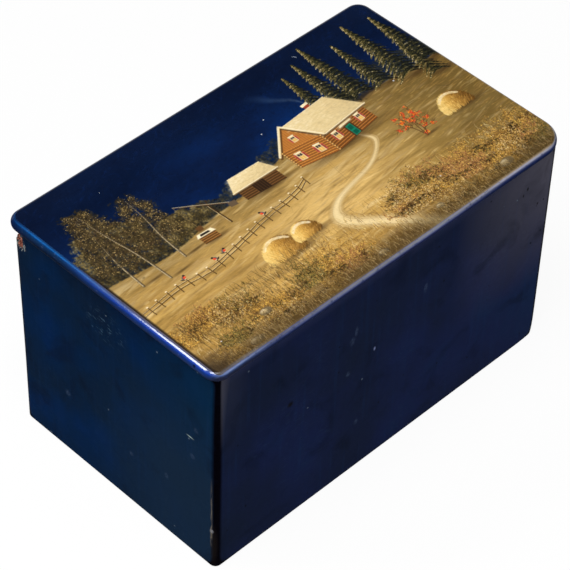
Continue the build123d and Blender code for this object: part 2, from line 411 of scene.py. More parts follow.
def lid_lacquer():
    """The lid board: cobalt along its ends, a pale painted highlight along front and back, rubbed streaks,
    painted shade where its rounded edge turns down, and cinnabar underneath.
    """
    p = Paint("lid_lacquer")
    x, y, _ = p.split(p.place)
    axis = p.split(p.normal)
    up = axis[2]
    lift = p.span(up, -0.6, 1.0)
    # The rounded edge's colour follows how it faces: painted shade where it turns down, painted highlights
    # near the top, with a bright streak at the far end and a pale highlight towards the near corner
    far_end = p.ramp(
        lift, (0.0, 3, 15, 31), (0.38, 7, 22, 45), (0.53, 13, 28, 53), (0.66, 17, 34, 62),
        (0.75, 12, 37, 68), (0.83, 4, 39, 76), (0.9, 0, 50, 104), (0.95, 18, 92, 160), (1.0, 20, 50, 92),
    )
    near_end = p.ramp(
        lift, (0.0, 9, 21, 40), (0.16, 15, 29, 56), (0.38, 28, 44, 84), (0.53, 24, 45, 92),
        (0.66, 18, 43, 104), (0.75, 22, 52, 134), (0.83, 34, 66, 156), (0.92, 62, 86, 156),
        (1.0, 84, 80, 88),
    )
    ends = p.mix(far_end, near_end, p.span(y, 0.022, -0.012))
    right_end = p.ramp(lift, (0.0, 14, 18, 34), (0.6, 24, 28, 46), (0.9, 40, 42, 60))
    ends = p.mix(ends, right_end, p.span(x, 0.06, 0.076))
    # Front and back: a pale painted highlight along the top of the rounding, strongest towards the right,
    # and painted shade below it
    side_left = p.ramp(
        lift, (0.0, 14, 21, 44), (0.32, 18, 28, 58), (0.49, 28, 39, 76), (0.62, 62, 73, 114),
        (0.73, 74, 80, 112), (0.85, 72, 70, 80),
    )
    side_middle = p.ramp(
        lift, (0.0, 15, 21, 48), (0.32, 20, 27, 62), (0.49, 42, 49, 86), (0.62, 94, 100, 130),
        (0.73, 116, 119, 134), (0.85, 106, 101, 92),
    )
    side_right = p.ramp(
        lift, (0.0, 14, 20, 42), (0.32, 15, 23, 52), (0.49, 19, 28, 64), (0.62, 33, 43, 80),
        (0.73, 78, 82, 110), (0.82, 134, 134, 148), (0.9, 168, 160, 158),
    )
    side_near = p.ramp(
        lift, (0.0, 29, 32, 50), (0.5, 31, 35, 55), (0.62, 36, 46, 74), (0.7, 58, 76, 118),
        (0.8, 100, 116, 154), (0.9, 98, 104, 124),
    )
    sides = p.mix(side_left, side_middle, p.span(x, -0.06, -0.01))
    sides = p.mix(sides, side_near, p.span(x, -0.056, -0.071))
    sides = p.mix(sides, side_right, p.span(x, 0.02, 0.05))
    sides = p.mix(sides, right_end, p.times(p.span(x, 0.0735, 0.0805), 0.75))
    facing = p.span(p.math("ABSOLUTE", axis[1]), 0.3, 0.75)
    p.colour = p.mix(ends, sides, facing)
    # Near the far left corner the coat is rubbed dull, and the edge is painted darker in shade
    dull_and_shaded = p.times(p.span(x, -0.071, -0.079), p.span(y, 0.036, 0.046))
    p.lay((8, 20, 54), dull_and_shaded, 0.75)
    along = p.noise(60, 4, 0.6)
    p.blend(p.ramp(along, (0.3, 0.78), (0.55, 1.0)), 1.0, "MULTIPLY")
    rub = p.streaks((500, 500, 1600), 4, 0.65)
    rubbed = p.times(p.ramp(rub, (0.6, 0.0), (0.72, 0.25)), p.span(up, -0.5, -0.1))
    p.lay((104, 116, 150), rubbed)
    patchy = p.noise(520, 4, 0.7)
    p.lay((30, 38, 72), p.ramp(patchy, (0.36, 0.6), (0.46, 0.0)), facing)
    nicks = p.specks(230, 0.14, 0.14)
    p.lay((6, 8, 16), nicks, 0.7)
    # Painted shade where the rounding turns down, patchy along the edge
    painted_underside_shade = p.span(up, -0.3, -0.62)
    p.lay((12, 14, 25), painted_underside_shade, p.ramp(along, (0.35, 0.3), (0.6, 0.7)))
    p.blend(cinnabar(p)[0], p.span(up, -0.9, -0.97))
    rough = p.ramp(p.noise(160, 3), (0.3, 0.2), (0.7, 0.4))
    normal = p.bump(p.noise(120, 3, 0.55), 0.03 * MM)
    normal = p.bump(rub, 0.01 * MM, normal)
    normal = p.bump(nicks, -0.03 * MM, normal)
    polished = p.math("SUBTRACT", p.span(up, 0.64, 0.78), p.times(dull_and_shaded, 0.85), clamp=True)
    p.gloss(polished, normal, rough=0.09, index=1.7)
    return p.done(rough, normal, level=0.002)


def black_lacquer():
    """The bottom board: black and rubbed underneath, red like the walls' inside on top."""
    p = Paint("black_lacquer")
    up = p.split(p.normal)[2]
    p.colour = p.ramp(p.noise(50, 5, 0.6), (0.3, 14, 14, 17), (0.7, 30, 28, 30))
    rub = p.streaks((40, 900, 900), 4, 0.7, 0.5, 2)
    p.lay((84, 74, 62), p.ramp(rub, (0.58, 0.0), (0.72, 0.5)))
    p.lay((128, 112, 90), p.specks(200, 0.1, 0.25), 0.5)
    p.blend(cinnabar(p)[0], p.span(up, 0.5, 0.7))
    rough = p.ramp(rub, (0.4, 0.3), (0.7, 0.55))
    normal = p.bump(p.noise(600, 4), 0.02 * MM)
    normal = p.bump(rub, -0.01 * MM, normal)
    return p.done(rough, normal, level=0.3)


def brass():
    """The hinge: drawn brass, dull and brown where it isn't rubbed."""
    p = Paint("brass")
    p.colour = p.ramp(p.noise(90, 4), (0.3, 178, 138, 74), (0.7, 214, 178, 108))
    tarnish = p.ramp(p.noise(140, 5, 0.65), (0.42, 1.0), (0.6, 0.0))
    p.lay((88, 62, 34), tarnish, 0.8)
    drawn = p.streaks((60, 2600, 2600), 3, 0.6)
    rough = p.math("ADD", p.times(tarnish, 0.25), p.ramp(drawn, (0.3, 0.24), (0.7, 0.4)))
    normal = p.bump(drawn, 0.008 * MM)
    normal = p.bump(p.noise(800, 3), 0.006 * MM, normal)
    return p.done(rough, normal, metal=1.0)


def varnished_picture():
    """The picture's colours under aged varnish: brush relief, fine cracks, dust and smears."""
    p = Paint("varnished_picture")
    p.colour = p.attribute("picture", "Color")
    hairs = p.streaks((500, 4200, 500), 4, 0.65, 0.3, 2)
    p.blend(p.ramp(hairs, (0.3, 0.78), (0.5, 0.95), (0.7, 1.0)), 1.0, "MULTIPLY")
    amber = p.noise(30, 4, 0.6)
    p.blend((0.78, 0.66, 0.42), p.ramp(amber, (0.45, 0.0), (0.75, 0.25)), "MULTIPLY")
    crack = p.ramp(p.cells(150, "DISTANCE_TO_EDGE").outputs["Distance"], (0.0, 1.0), (0.012, 0.0))
    crack = p.times(crack, p.ramp(p.noise(60, 2), (0.5, 0.0), (0.62, 1.0)))
    p.blend((0.01, 0.01, 0.012), p.times(crack, 0.25))
    p.lay((196, 200, 204), p.specks(170, 0.06, 0.12), 0.6)
    rough = p.ramp(p.noise(55, 4, 0.6), (0.3, 0.1), (0.7, 0.2))
    normal = p.bump(p.noise(180, 3, 0.5), 0.015 * MM)
    normal = p.bump(hairs, 0.006 * MM, normal)
    normal = p.bump(crack, -0.008 * MM, normal)
    return p.done(rough, normal, level=0.3)


# The picture fills the top of the lid. Millimetres, x to the right and y towards the back.
# The canvas has so many pixels a millimetre, and the film has a point for each square of them
PICTURE_HALF_X = 81.71
PICTURE_HALF_Y = 49.11
CANVAS_PER_MM = 10
GRID_SHARE = 2
PICTURE_SEED = 11

# Where the path turns, from the cottage's door to the front edge
PATH_TURNS = ((30, -1), (32, -7), (22, -14), (2, -19), (-4, -27), (8, -38), (22, -51))

# The painter's colours, as plain sRGB values from 0 to 255
NAVY = (6, 20, 50)
NIGHT = (9, 24, 54)
COBALT = (8, 48, 112)
UMBER = (58, 38, 20)
SOOT = (24, 19, 14)
BARK = (92, 62, 34)
OCHRE = (168, 128, 58)
STRAW = (206, 166, 88)
GOLD = (220, 172, 74)
SAND = (200, 164, 94)
CREAM = (226, 202, 150)
SNOW = (236, 220, 182)
OLIVE = (92, 82, 38)
MOSS = (58, 56, 30)
BRICK = (150, 62, 40)
ROSE = (196, 84, 72)
SCARLET = (206, 62, 34)
ORANGE = (222, 122, 30)
EMERALD = (22, 112, 84)
GLOW = (246, 190, 92)


def rgb(colour):
    """A colour from 0 to 1. A tuple holds sRGB values from 0 to 255, and an array is done already."""
    values = np.asarray(colour, np.float32)
    return values / 255 if isinstance(colour, tuple) else values


def mix(a, b, share):
    """A colour between two colours, for one share or for an array of them."""
    share = np.asarray(share, np.float32)[..., None]
    return rgb(a) * (1 - share) + rgb(b) * share


def ramp(share, *colours):
    """A colour along a row of evenly spaced colours, for an array of shares from 0 to 1."""
    stops = np.array([rgb(c) for c in colours])
    at = np.clip(share, 0, 1) * (len(stops) - 1)
    low = np.minimum(at.astype(int), len(stops) - 2)
    part = (at - low)[..., None].astype(np.float32)
    return stops[low] * (1 - part) + stops[low + 1] * part


class Canvas:
    """A picture in the making. Places and sizes are in millimetres, colours in sRGB from 0 to 1."""

    def __init__(self, seed):
        self.rng = np.random.default_rng(seed)
        self.scale = CANVAS_PER_MM
        self.width = int(2 * PICTURE_HALF_X * self.scale) // GRID_SHARE * GRID_SHARE
        self.height = int(2 * PICTURE_HALF_Y * self.scale) // GRID_SHARE * GRID_SHARE
        self.pixels = np.zeros((self.height, self.width, 3), np.float32)
        self.x = ((np.arange(self.width) + 0.5) / self.scale - PICTURE_HALF_X).astype(np.float32)[None, :]
        self.y = (PICTURE_HALF_Y - (np.arange(self.height) + 0.5) / self.scale).astype(np.float32)[:, None]

    def noise(self, cell_x, cell_y, octaves=4, gain=0.5):
        """Smooth noise from 0 to 1, its widest cells so many millimetres wide and high."""
        total = np.zeros((self.height, self.width), np.float32)
        weight = 0.0
        size = 1.0
        for _ in range(octaves):
            gx = np.arange(self.width) / (cell_x * self.scale)
            gy = np.arange(self.height) / (cell_y * self.scale)
            grid = self.rng.random((int(gy[-1]) + 2, int(gx[-1]) + 2)).astype(np.float32)
            ix, iy = gx.astype(int), gy.astype(int)
            fx, fy = (gx - ix).astype(np.float32), (gy - iy).astype(np.float32)
            fx, fy = fx * fx * (3 - 2 * fx), (fy * fy * (3 - 2 * fy))[:, None]
            rows = grid[iy] * (1 - fy) + grid[iy + 1] * fy
            total += size * (rows[:, ix] * (1 - fx) + rows[:, ix + 1] * fx)
            weight += size
            size *= gain
            cell_x, cell_y = cell_x / 2, cell_y / 2
        return total / weight

    def glaze(self, colour, alpha):
        """Lays a colour, or a colour for each pixel, over the whole canvas."""
        alpha = np.clip(alpha, 0, 1)[..., None]
        self.pixels += (rgb(colour) - self.pixels) * alpha

    def dabs(self, x, y, long, wide, angle, colour, alpha, edge=0.35, batch=500):
        """Small soft oval touches, one for each place. edge is the share of the radius that fades."""
        count = len(x)
        sizes = (np.asarray(v, np.float32) for v in (long, wide, angle, alpha))
        long, wide, angle, alpha = (np.broadcast_to(v, count) for v in sizes)
        colour = np.broadcast_to(rgb(colour), (count, 3))
        px = (np.asarray(x, np.float32) + PICTURE_HALF_X) * self.scale - 0.5
        py = (PICTURE_HALF_Y - np.asarray(y, np.float32)) * self.scale - 0.5
        flat = self.pixels.reshape(-1, 3)
        for start in range(0, count, batch):
            s = slice(start, min(start + batch, count))
            reach = int(math.ceil(max(long[s].max(), wide[s].max()) * self.scale)) + 1
            off = np.arange(-reach, reach + 1)
            cx, cy = np.round(px[s]).astype(int), np.round(py[s]).astype(int)
            ix = cx[:, None, None] + off[None, None, :]
            iy = cy[:, None, None] + off[None, :, None]
            dx = (ix - px[s][:, None, None]) / self.scale
            dy = (py[s][:, None, None] - iy) / self.scale
            cos, sin = np.cos(angle[s])[:, None, None], np.sin(angle[s])[:, None, None]
            u = (dx * cos + dy * sin) / long[s][:, None, None]
            v = (dy * cos - dx * sin) / wide[s][:, None, None]
            cover = np.clip((1 - np.sqrt(u * u + v * v)) / edge, 0, 1) * alpha[s][:, None, None]
            cover *= (ix >= 0) & (ix < self.width) & (iy >= 0) & (iy < self.height)
            hit = cover > 0.01
            a = cover[hit]
            place = np.broadcast_to(iy * self.width + ix, hit.shape)[hit]
            which = np.broadcast_to(np.arange(len(hit))[:, None, None], hit.shape)[hit]
            order = np.argsort(a, kind="stable")
            a, place, which = a[order][:, None], place[order], which[order]
            flat[place] = flat[place] * (1 - a) + colour[s][which] * a

    def line(self, start, end, width, colour, alpha=1.0, taper=1.0):
        """One straight brush stroke."""
        self.strokes([[start, end]], width, colour, alpha, taper)

    def strokes(self, lines, width, colour, alpha=1.0, taper=1.0, edge=0.5):
        """Brush strokes along lines of points. Each narrows to its taper share at the far end."""
        xs, ys, ws, cs = [], [], [], []
        width = np.broadcast_to(np.asarray(width, np.float32), len(lines))
        colour = np.broadcast_to(rgb(colour), (len(lines), 3))
        for line, w, c in zip(lines, width, colour):
            line = np.asarray(line, np.float32)
            run = np.concatenate([[0], np.cumsum(np.hypot(*np.diff(line, axis=0).T))])
            n = max(2, int(run[-1] / max(w * 0.35, 0.08)) + 1)
            t = np.linspace(0, run[-1], n)
            xs.append(np.interp(t, run, line[:, 0]))
            ys.append(np.interp(t, run, line[:, 1]))
            ws.append(w / 2 * (1 - (1 - taper) * np.linspace(0, 1, n)))
            cs.append(np.broadcast_to(c, (n, 3)))
        if xs:
            w = np.maximum(np.concatenate(ws), 0.06)
            self.dabs(np.concatenate(xs), np.concatenate(ys), w, w, 0.0, np.concatenate(cs), alpha, edge)

    def fill(self, points, colour, alpha=1.0, soft=0.12):
        """A convex area with slightly soft edges. Its corners are given in order."""
        points = np.asarray(points, np.float32)
        low, high = points.min(0) - soft, points.max(0) + soft
        c0, c1 = (int(max((v + PICTURE_HALF_X) * self.scale, 0)) for v in (low[0], high[0]))
        r0, r1 = (int(max((PICTURE_HALF_Y - v) * self.scale, 0)) for v in (high[1], low[1]))
        x, y = self.x[:, c0 : c1 + 1], self.y[r0 : r1 + 1]
        follow = np.roll(points, -1, 0)
        turn = np.sign(np.sum(points[:, 0] * follow[:, 1] - points[:, 1] * follow[:, 0]))
        cover = np.full((y.shape[0], x.shape[1]), 1.0, np.float32)
        for (ax, ay), (bx, by) in zip(points, follow):
            length = math.hypot(bx - ax, by - ay)
            inside = turn * ((bx - ax) * (y - ay) - (by - ay) * (x - ax)) / length
            cover = np.minimum(cover, np.clip(inside / soft + 0.5, 0, 1))
        part = self.pixels[r0 : r1 + 1, c0 : c1 + 1]
        part += (rgb(colour) - part) * (cover * alpha)[..., None]


def land_line(x):
    """Where the snowfield ends against the woods."""
    return 7 + 0.085 * x + 2.2 * np.sin(x / 19 + 0.6) + 0.9 * np.sin(x / 7.3)


def vary(rng, colours, count, spread=0.06):
    """A colour for each touch, drawn from a few colours and made a little lighter or darker."""
    base = np.array([rgb(c) for c in colours])[rng.integers(0, len(colours), count)]
    return np.clip(base * (1 + spread * rng.standard_normal((count, 1))), 0, 1).astype(np.float32)


def paint_sky(cv):
    """Deep navy, with cobalt breaking through above the woods."""
    rng = cv.rng
    height = np.clip((cv.y + 2) / 51, 0, 1) + 0 * cv.x
    cv.pixels[:] = ramp(height, (12, 42, 88), (8, 31, 74), (7, 24, 58), (6, 20, 48), (9, 21, 47))
    drift = cv.noise(34, 17, 5, 0.55)
    low = np.exp(-(((cv.y - 16) / 14) ** 2))
    cv.glaze(COBALT, np.clip((drift - 0.48) * 3, 0, 1) * (0.1 + 0.42 * low))
    cv.glaze((4, 11, 30), np.clip((0.5 - drift) * 3, 0, 1) * 0.5)
    count = 3600
    x, y = rng.uniform(-PICTURE_HALF_X, PICTURE_HALF_X, count), rng.uniform(-8, PICTURE_HALF_Y, count)
    tones = vary(rng, [NAVY, NIGHT, (9, 32, 80), (5, 14, 36)], count, 0.1)
    long, wide = rng.uniform(0.8, 2.8, count), rng.uniform(0.3, 0.7, count)
    cv.dabs(x, y, long, wide, 0.5 + 0.6 * rng.standard_normal(count), tones, 0.22, 0.9)


def paint_crown(cv, x, y, tall, wide, count, tones):
    """The soft head of a tree: dark within, with touches of light on its upper left."""
    rng = cv.rng
    a, b = np.clip(rng.standard_normal(count) * 0.5, -1.25, 1.25), rng.random(count) ** 0.85
    half = wide * np.sqrt(np.sin(math.pi * (0.1 + 0.86 * b)))
    clump = np.sin(a * 5 + 1.7 * x) * np.sin(b * 8 + 0.9 * x)
    light = 0.34 - 0.26 * a + 0.22 * b + 0.24 * clump + 0.16 * rng.standard_normal(count)
    order = np.argsort(light + 0.35 * rng.random(count))
    px, py = x + a * half + 0.5 * clump, y + b * tall + 0.4 * clump
    size = rng.uniform(0.35, 1.0, count)
    tone = ramp(light, *tones)
    cv.dabs(px[order], py[order], size, 0.6 * size, rng.uniform(0, 3.1, count), tone[order], 0.6, 0.85)


def paint_woods(cv):
    """A dark belt of far trees, which rises into a grove towards the left."""
    rng = cv.rng
    far = ((14, 22, 34), (24, 28, 30), (40, 38, 28), (66, 58, 36), (104, 90, 54))
    near = (SOOT, (34, 28, 18), (54, 44, 24), (84, 70, 36), (126, 106, 58), (172, 148, 92))
    for x in np.arange(-84, 86, 2.9):
        tall = rng.uniform(5, 9.5) + 5 * math.exp(-(((x - 56) / 24) ** 2))
        paint_crown(cv, x + rng.uniform(-1, 1), land_line(x) - 1.4, tall, rng.uniform(2.2, 3.6), 230, far)
    for x in np.arange(-83, -34, 4.4):
        tall = 11 + 17 * math.exp(-(((x + 66) / 17) ** 2)) + rng.uniform(-2, 2)
        paint_crown(cv, x + rng.uniform(-1, 1), land_line(x) - 1.8, tall, rng.uniform(4.4, 6.2), 1100, near)


def paint_land(cv):
    """Golden evening snow: cream in the open, olive brown in the dips and towards the right."""
    rng = cv.rng
    edge = land_line(cv.x)
    inside = np.clip((edge - cv.y) / 0.5, 0, 1)
    depth = np.clip((edge - cv.y) / (edge + PICTURE_HALF_Y), 0, 1)
    tone = ramp(depth, (136, 110, 62), (176, 142, 80), (196, 158, 86), (180, 140, 70), (98, 72, 36))
    cv.glaze(tone, inside)
    drift = cv.noise(46, 12, 4, 0.5)
    slant = cv.noise(30, 2.4, 5, 0.6)
    open_field = np.exp(-(((cv.x + 4) / 42) ** 2) - ((cv.y + 20 - 0.1 * cv.x) / 11) ** 2)
    cv.glaze((220, 184, 118), inside * open_field * 0.7)
    cv.glaze((136, 106, 56), inside * np.clip((0.49 - drift) * 4, 0, 1) * 0.6 * (1 - 0.6 * open_field))
    cv.glaze(SNOW, inside * np.clip((slant - 0.56) * 4, 0, 1) * 0.35)
    cv.glaze((112, 86, 42), inside * np.clip((0.43 - slant) * 5, 0, 1) * 0.5)
    cv.glaze((98, 78, 38), inside * np.clip((cv.x - 14) / 54, 0, 1) * 0.85)
    for count, size, tones, alpha in (
        (5200, 1.0, (SAND, STRAW, OCHRE, (186, 146, 78), (140, 108, 54)), 0.3),
        (1100, 2.6, (CREAM, (170, 136, 80), (122, 92, 46), (150, 126, 92), (92, 68, 34)), 0.28),
    ):
        x = rng.uniform(-PICTURE_HALF_X, PICTURE_HALF_X, count)
        y = -PICTURE_HALF_Y + rng.random(count) * (land_line(x) + PICTURE_HALF_Y)
        long, wide = size * rng.uniform(0.8, 3.2, count), size * rng.uniform(0.12, 0.3, count)
        tilt = 0.1 + 0.1 * rng.standard_normal(count)
        cv.dabs(x, y, long, wide, tilt, vary(rng, tones, count, 0.08), alpha, 0.8)


def shadow(cv, x, y, wide, tall, alpha=0.75):
    """A soft shadow on the snow."""
    cv.dabs([x], [y], wide, tall, 0.05, (62, 44, 24), alpha, 1.0)


def curve(points, count=40):
    """A smooth line through a few points."""
    points = np.asarray(points, float)
    t = np.linspace(0, len(points) - 1, count)
    i = np.clip(t.astype(int), 0, len(points) - 2)
    f = (t - i)[:, None]
    padded = np.vstack([2 * points[0] - points[1], points, 2 * points[-1] - points[-2]])
    a, b, c, d = padded[i], padded[i + 1], padded[i + 2], padded[i + 3]
    return 0.5 * (2 * b + (c - a) * f + (2 * a - 5 * b + 4 * c - d) * f**2 + (3 * b - a - 3 * c + d) * f**3)


def paint_path(cv):
    """A trodden path from the cottage to the front edge, with two soft ruts."""
    middle = curve(PATH_TURNS, 260)
    width = np.linspace(1.2, 7.5, len(middle)) * (1 + 0.1 * np.sin(np.linspace(0, 19, len(middle))))
    layers = ((1.0, (132, 102, 54), 0.12), (0.8, (220, 192, 136), 0.22), (0.45, (232, 210, 160), 0.2))
    for share, tone, alpha in layers:
        cv.dabs(*middle.T, width * share, width * share * 0.42, 0.05, tone, alpha, 0.9, 1)
    for side in (-1, 1):
        rut = middle + np.stack([side * width * 0.36, 0 * width], 1)
        cv.strokes([rut], 0.7, (128, 98, 52), 0.22, edge=1.0)
        cv.strokes([rut + (0.5, 0.2)], 0.4, SNOW, 0.3, edge=1.0)


def log_wall(cv, bottom_left, bottom_right, height_left, height_right, logs, light, dark):
    """A wall of round logs: each course is lit above and dark in the joint below."""
    (x0, y0), (x1, y1) = bottom_left, bottom_right

    def course(share, width, tone, alpha):
        """A stroke along the wall at a share of its height."""
        cv.line((x0, y0 + height_left * share), (x1, y1 + height_right * share), width, tone, alpha)

    cv.fill([(x0, y0), (x1, y1), (x1, y1 + height_right), (x0, y0 + height_left)], dark)
    for i in range(logs):
        low, high = i / logs, (i + 1) / logs
        for part, tone in ((0.5, dark), (0.75, light), (0.97, light)):
            course(low + (high - low) * part, height_left / logs * 0.34, tone, 0.5)
        course(high - (high - low) * 0.28, height_left / logs * 0.16, rgb(light) * 1.18, 0.8)
        course(low, 0.16, SOOT, 0.75)


def window(cv, x, y, wide, tall, slope=0.0):
    """A glowing window with cream frames, crossbars and rose shutters."""

    def pane(x0, x1, y0, y1, colour, alpha=1.0):
        """An upright piece that leans with the wall's slope."""
        left, right = slope * (x0 - x), slope * (x1 - x)
        corners = [(x0, y0 + left), (x1, y0 + right), (x1, y1 + right), (x0, y1 + left)]
        cv.fill(corners, colour, alpha, 0.1)

    half = wide / 2
    for side in (-1, 1):
        a, b = sorted((x + side * half * 1.15, x + side * half * 2.25))
        pane(a, b, y - 0.1, y + tall + 0.1, ROSE)
        pane(a + 0.18, b - 0.18, y + 0.25, y + tall - 0.25, tuple(c * 0.72 for c in ROSE))
    pane(x - half - 0.3, x + half + 0.3, y - 0.4, y + tall + 0.5, CREAM)
    pane(x - half, x + half, y, y + tall, (60, 52, 54))
    pane(x - half, x + half, y, y + tall * 0.6, GLOW, 0.85)
    pane(x - 0.07, x + 0.07, y, y + tall, CREAM)
    pane(x - half, x + half, y + tall * 0.55, y + tall * 0.55 + 0.16, CREAM)
    pane(x - half - 0.5, x + half + 0.5, y + tall + 0.45, y + tall + 0.95, SNOW)


def snow_roof(cv, eave_left, eave_right, ridge_right, ridge_left, thick):
    """One slope of a roof under thick snow, with its edge in shade."""
    corners = np.array([eave_left, eave_right, ridge_right, ridge_left], float)
    cv.fill(corners - (0, thick * 0.7), (92, 70, 46))
    cv.fill(corners, (214, 190, 138), 1.0, 0.3)
    rng = cv.rng
    count = 700
    a, b = rng.random(count), rng.random(count)
    low = corners[0] + (corners[1] - corners[0]) * a[:, None]
    top = corners[3] + (corners[2] - corners[3]) * a[:, None]
    place = low + (top - low) * (0.04 + 0.92 * b)[:, None]
    slope = math.atan2(*(corners[1] - corners[0])[::-1])
    shade = np.clip(0.15 + 0.5 * a + 0.35 * (1 - b) + 0.16 * rng.standard_normal(count), 0, 1)
    tones = ramp(shade, (246, 236, 208), (234, 216, 174), (212, 188, 136), (176, 154, 116))
    long, wide = rng.uniform(0.6, 2.2, count), rng.uniform(0.3, 0.8, count)
    cv.dabs(*place.T, long, wide, slope, tones, 0.4, 1.0)
    cv.strokes([corners[:2] + (0, 0.15)], 0.5, SNOW, 0.9)
    cv.strokes([corners[:2] - (0, thick * 0.3)], 0.3, (160, 132, 88), 0.8)
    cv.line(corners[3], corners[2], 0.4, SNOW, 0.9)


def paint_cottage(cv):
    """A log cottage with a gable towards the left, shutters, a porch and a smoking chimney."""
    smoke(cv, 27.5, 23)
    cv.fill([(25.8, 15), (28.2, 15.4), (28.2, 22), (25.8, 21.6)], BRICK)
    cv.fill([(25.4, 21.4), (28.6, 21.8), (28.6, 22.9), (25.4, 22.6)], SNOW)
    for i in range(5):
        cv.line((25.8, 15.8 + 1.2 * i), (28.2, 16.1 + 1.2 * i), 0.14, (92, 40, 28), 0.8)
    log_wall(cv, (20, -2.4), (41, 0.6), 10.4, 9.6, 9, (186, 120, 54), (112, 66, 30))
    log_wall(cv, (4, 0.2), (20, -2.4), 9.8, 10.4, 9, (214, 146, 66), (140, 84, 38))
    cv.fill([(4, 9.9), (20, 7.9), (12.2, 19.4)], (176, 112, 50))
    tops = [9.9 + 1.16 * min(i, 15.6 - i) - 0.1 * i for i in range(1, 15)]
    boards = [[(4.8 + 0.95 * i, 9.4 - 0.12 * i), (4.8 + 0.95 * i, top)] for i, top in enumerate(tops, 1)]
    cv.strokes(boards, 0.14, (110, 64, 30), 0.8)
    window(cv, 12.1, 11.0, 1.5, 2.2)
    window(cv, 8.0, 2.7, 1.8, 3.1, -0.15)
    window(cv, 15.6, 1.5, 1.8, 3.1, -0.15)
    window(cv, 24.4, 1.9, 1.6, 3.0, 0.13)
    window(cv, 36.6, 3.6, 1.5, 2.8, 0.13)
    cv.fill([(28.6, -1.1), (32.4, -0.5), (32.4, 6.2), (28.6, 5.7)], (74, 46, 26))
    cv.fill([(29.2, -0.9), (31.8, -0.5), (31.8, 5.2), (29.2, 4.8)], EMERALD)
    cv.fill([(29.6, 2.2), (31.4, 2.5), (31.4, 4.5), (29.6, 4.2)], (14, 80, 62))
    cv.fill([(29.6, -0.4), (31.4, -0.1), (31.4, 1.7), (29.6, 1.4)], (14, 80, 62))
    snow_roof(cv, (27.6, 5.5), (33.4, 6.3), (32.8, 7.9), (28.2, 7.2), 0.7)
    snow_roof(cv, (20.6, 6.6), (43.0, 8.8), (34.6, 20.8), (12.4, 19.0), 1.1)
    for tone, lift, width in ((BARK, -0.5, 1.3), (SNOW, 0.5, 1.2), (CREAM, 0.1, 0.5)):
        left, ridge, right = (2.2, 8.2 + lift), (12.4, 19.5 + lift), (21.4, 6.9 + lift)
        cv.strokes([[left, ridge], [ridge, right]], width, tone)
    ends = [(20.1, -1.9 + 1.16 * i) for i in range(9)] + [(4.1, 0.7 + 1.09 * i) for i in range(9)]
    x, y = np.array(ends).T
    cv.dabs(x, y, 0.62, 0.58, 0.0, (96, 60, 30), 1.0)
    cv.dabs(x - 0.05, y + 0.05, 0.42, 0.4, 0.0, (214, 168, 98), 1.0)


def smoke(cv, x, y):
    """Pale smoke that leans to the left as it rises."""
    rng = cv.rng
    count = 150
    t = np.linspace(0, 1, count)
    px = x - 15 * t**1.4 + 1.2 * np.sin(t * 9) * t + 0.5 * rng.standard_normal(count) * t
    py = y + 15 * t
    tone = ramp(t, (150, 150, 150), (46, 78, 122))
    cv.dabs(px, py, 0.5 + 2.2 * t, 0.4 + 1.4 * t, 0.6, tone, 0.17 * (1 - t) + 0.03, 1.0, 5)


def paint_barn(cv):
    """A low dark barn to the left of the cottage."""
    log_wall(cv, (-20, 1.2), (-3, 0.2), 6.0, 6.2, 6, (128, 88, 46), (74, 48, 26))
    cv.fill([(-14.4, 1.0), (-9.2, 0.7), (-9.2, 5.6), (-14.4, 5.8)], (44, 30, 20))
    boards = [[(-14.4 + 1.04 * i, 1.0), (-14.4 + 1.04 * i, 5.7)] for i in range(6)]
    cv.strokes(boards, 0.16, (104, 72, 40), 0.9)
    snow_roof(cv, (-21.8, 6.2), (-1.6, 6.0), (-4.6, 12.2), (-18.6, 12.6), 0.8)


def paint_well(cv):
    """A well with a long counterpoise pole and a hanging bucket."""
    cv.line((-31, -2.5), (-31.6, 9.0), 0.95, UMBER, 1, 0.8)
    cv.line((-31.3, -2.5), (-31.9, 9.0), 0.3, CREAM, 0.8, 0.8)
    cv.strokes([[(-31.6, 8.2), (side, 10.4)] for side in (-32.7, -30.6)], 0.55, UMBER)
    cv.line((-25.0, 4.2), (-41.0, 15.0), 0.55, (84, 56, 30), 1, 0.6)
    cv.line((-25.2, 4.7), (-41.0, 15.3), 0.22, SNOW, 0.9)
    cv.fill([(-26.4, 2.4), (-23.4, 2.0), (-23.2, 4.4), (-26.2, 4.8)], (92, 76, 58))
    cv.line((-41.0, 15.0), (-41.0, 3.2), 0.16, (140, 116, 74))
    cv.fill([(-42.0, 1.0), (-40.0, 1.0), (-39.7, 3.2), (-42.3, 3.2)], BARK)
    log_wall(cv, (-44.4, -4.6), (-37.8, -5.0), 3.8, 3.8, 4, (176, 124, 62), (94, 60, 30))
    cv.fill([(-44.9, -1.2), (-37.3, -1.6), (-38.1, 0.2), (-44.1, 0.4)], SNOW, 1, 0.3)
    cv.fill([(-43.3, -0.9), (-39.1, -1.1), (-39.5, -0.2), (-43.0, 0.0)], (36, 30, 28), 1, 0.3)


def paint_haystack(cv, x, y, wide, tall):
    """A rounded stack of straw, capped with snow."""
    rng = cv.rng
    count = 1500
    a = rng.uniform(-1, 1, count)
    b = rng.random(count) ** 0.8
    px = x + a * wide * np.sqrt(np.clip(1 - b**2.2, 0, 1))
    py = y + b * tall
    light = np.clip(0.55 - 0.5 * a + 0.12 * rng.standard_normal(count), 0, 1)
    tone = ramp(light, (86, 56, 22), (150, 106, 44), (212, 164, 78), (240, 206, 126))
    order = np.argsort(-b)
    cv.dabs(px[order], py[order], 1.1, 0.16, (1.35 - 0.5 * a)[order], tone[order], 0.85)
    count = 160
    a = rng.uniform(-0.62, 0.62, count)
    py = y + tall * (1.02 - 0.62 * a**2) - 0.6 * rng.random(count)
    cv.dabs(x + a * wide, py, 0.9, 0.4, -1.0 * a, vary(rng, [SNOW, CREAM], count, 0.03), 0.8)


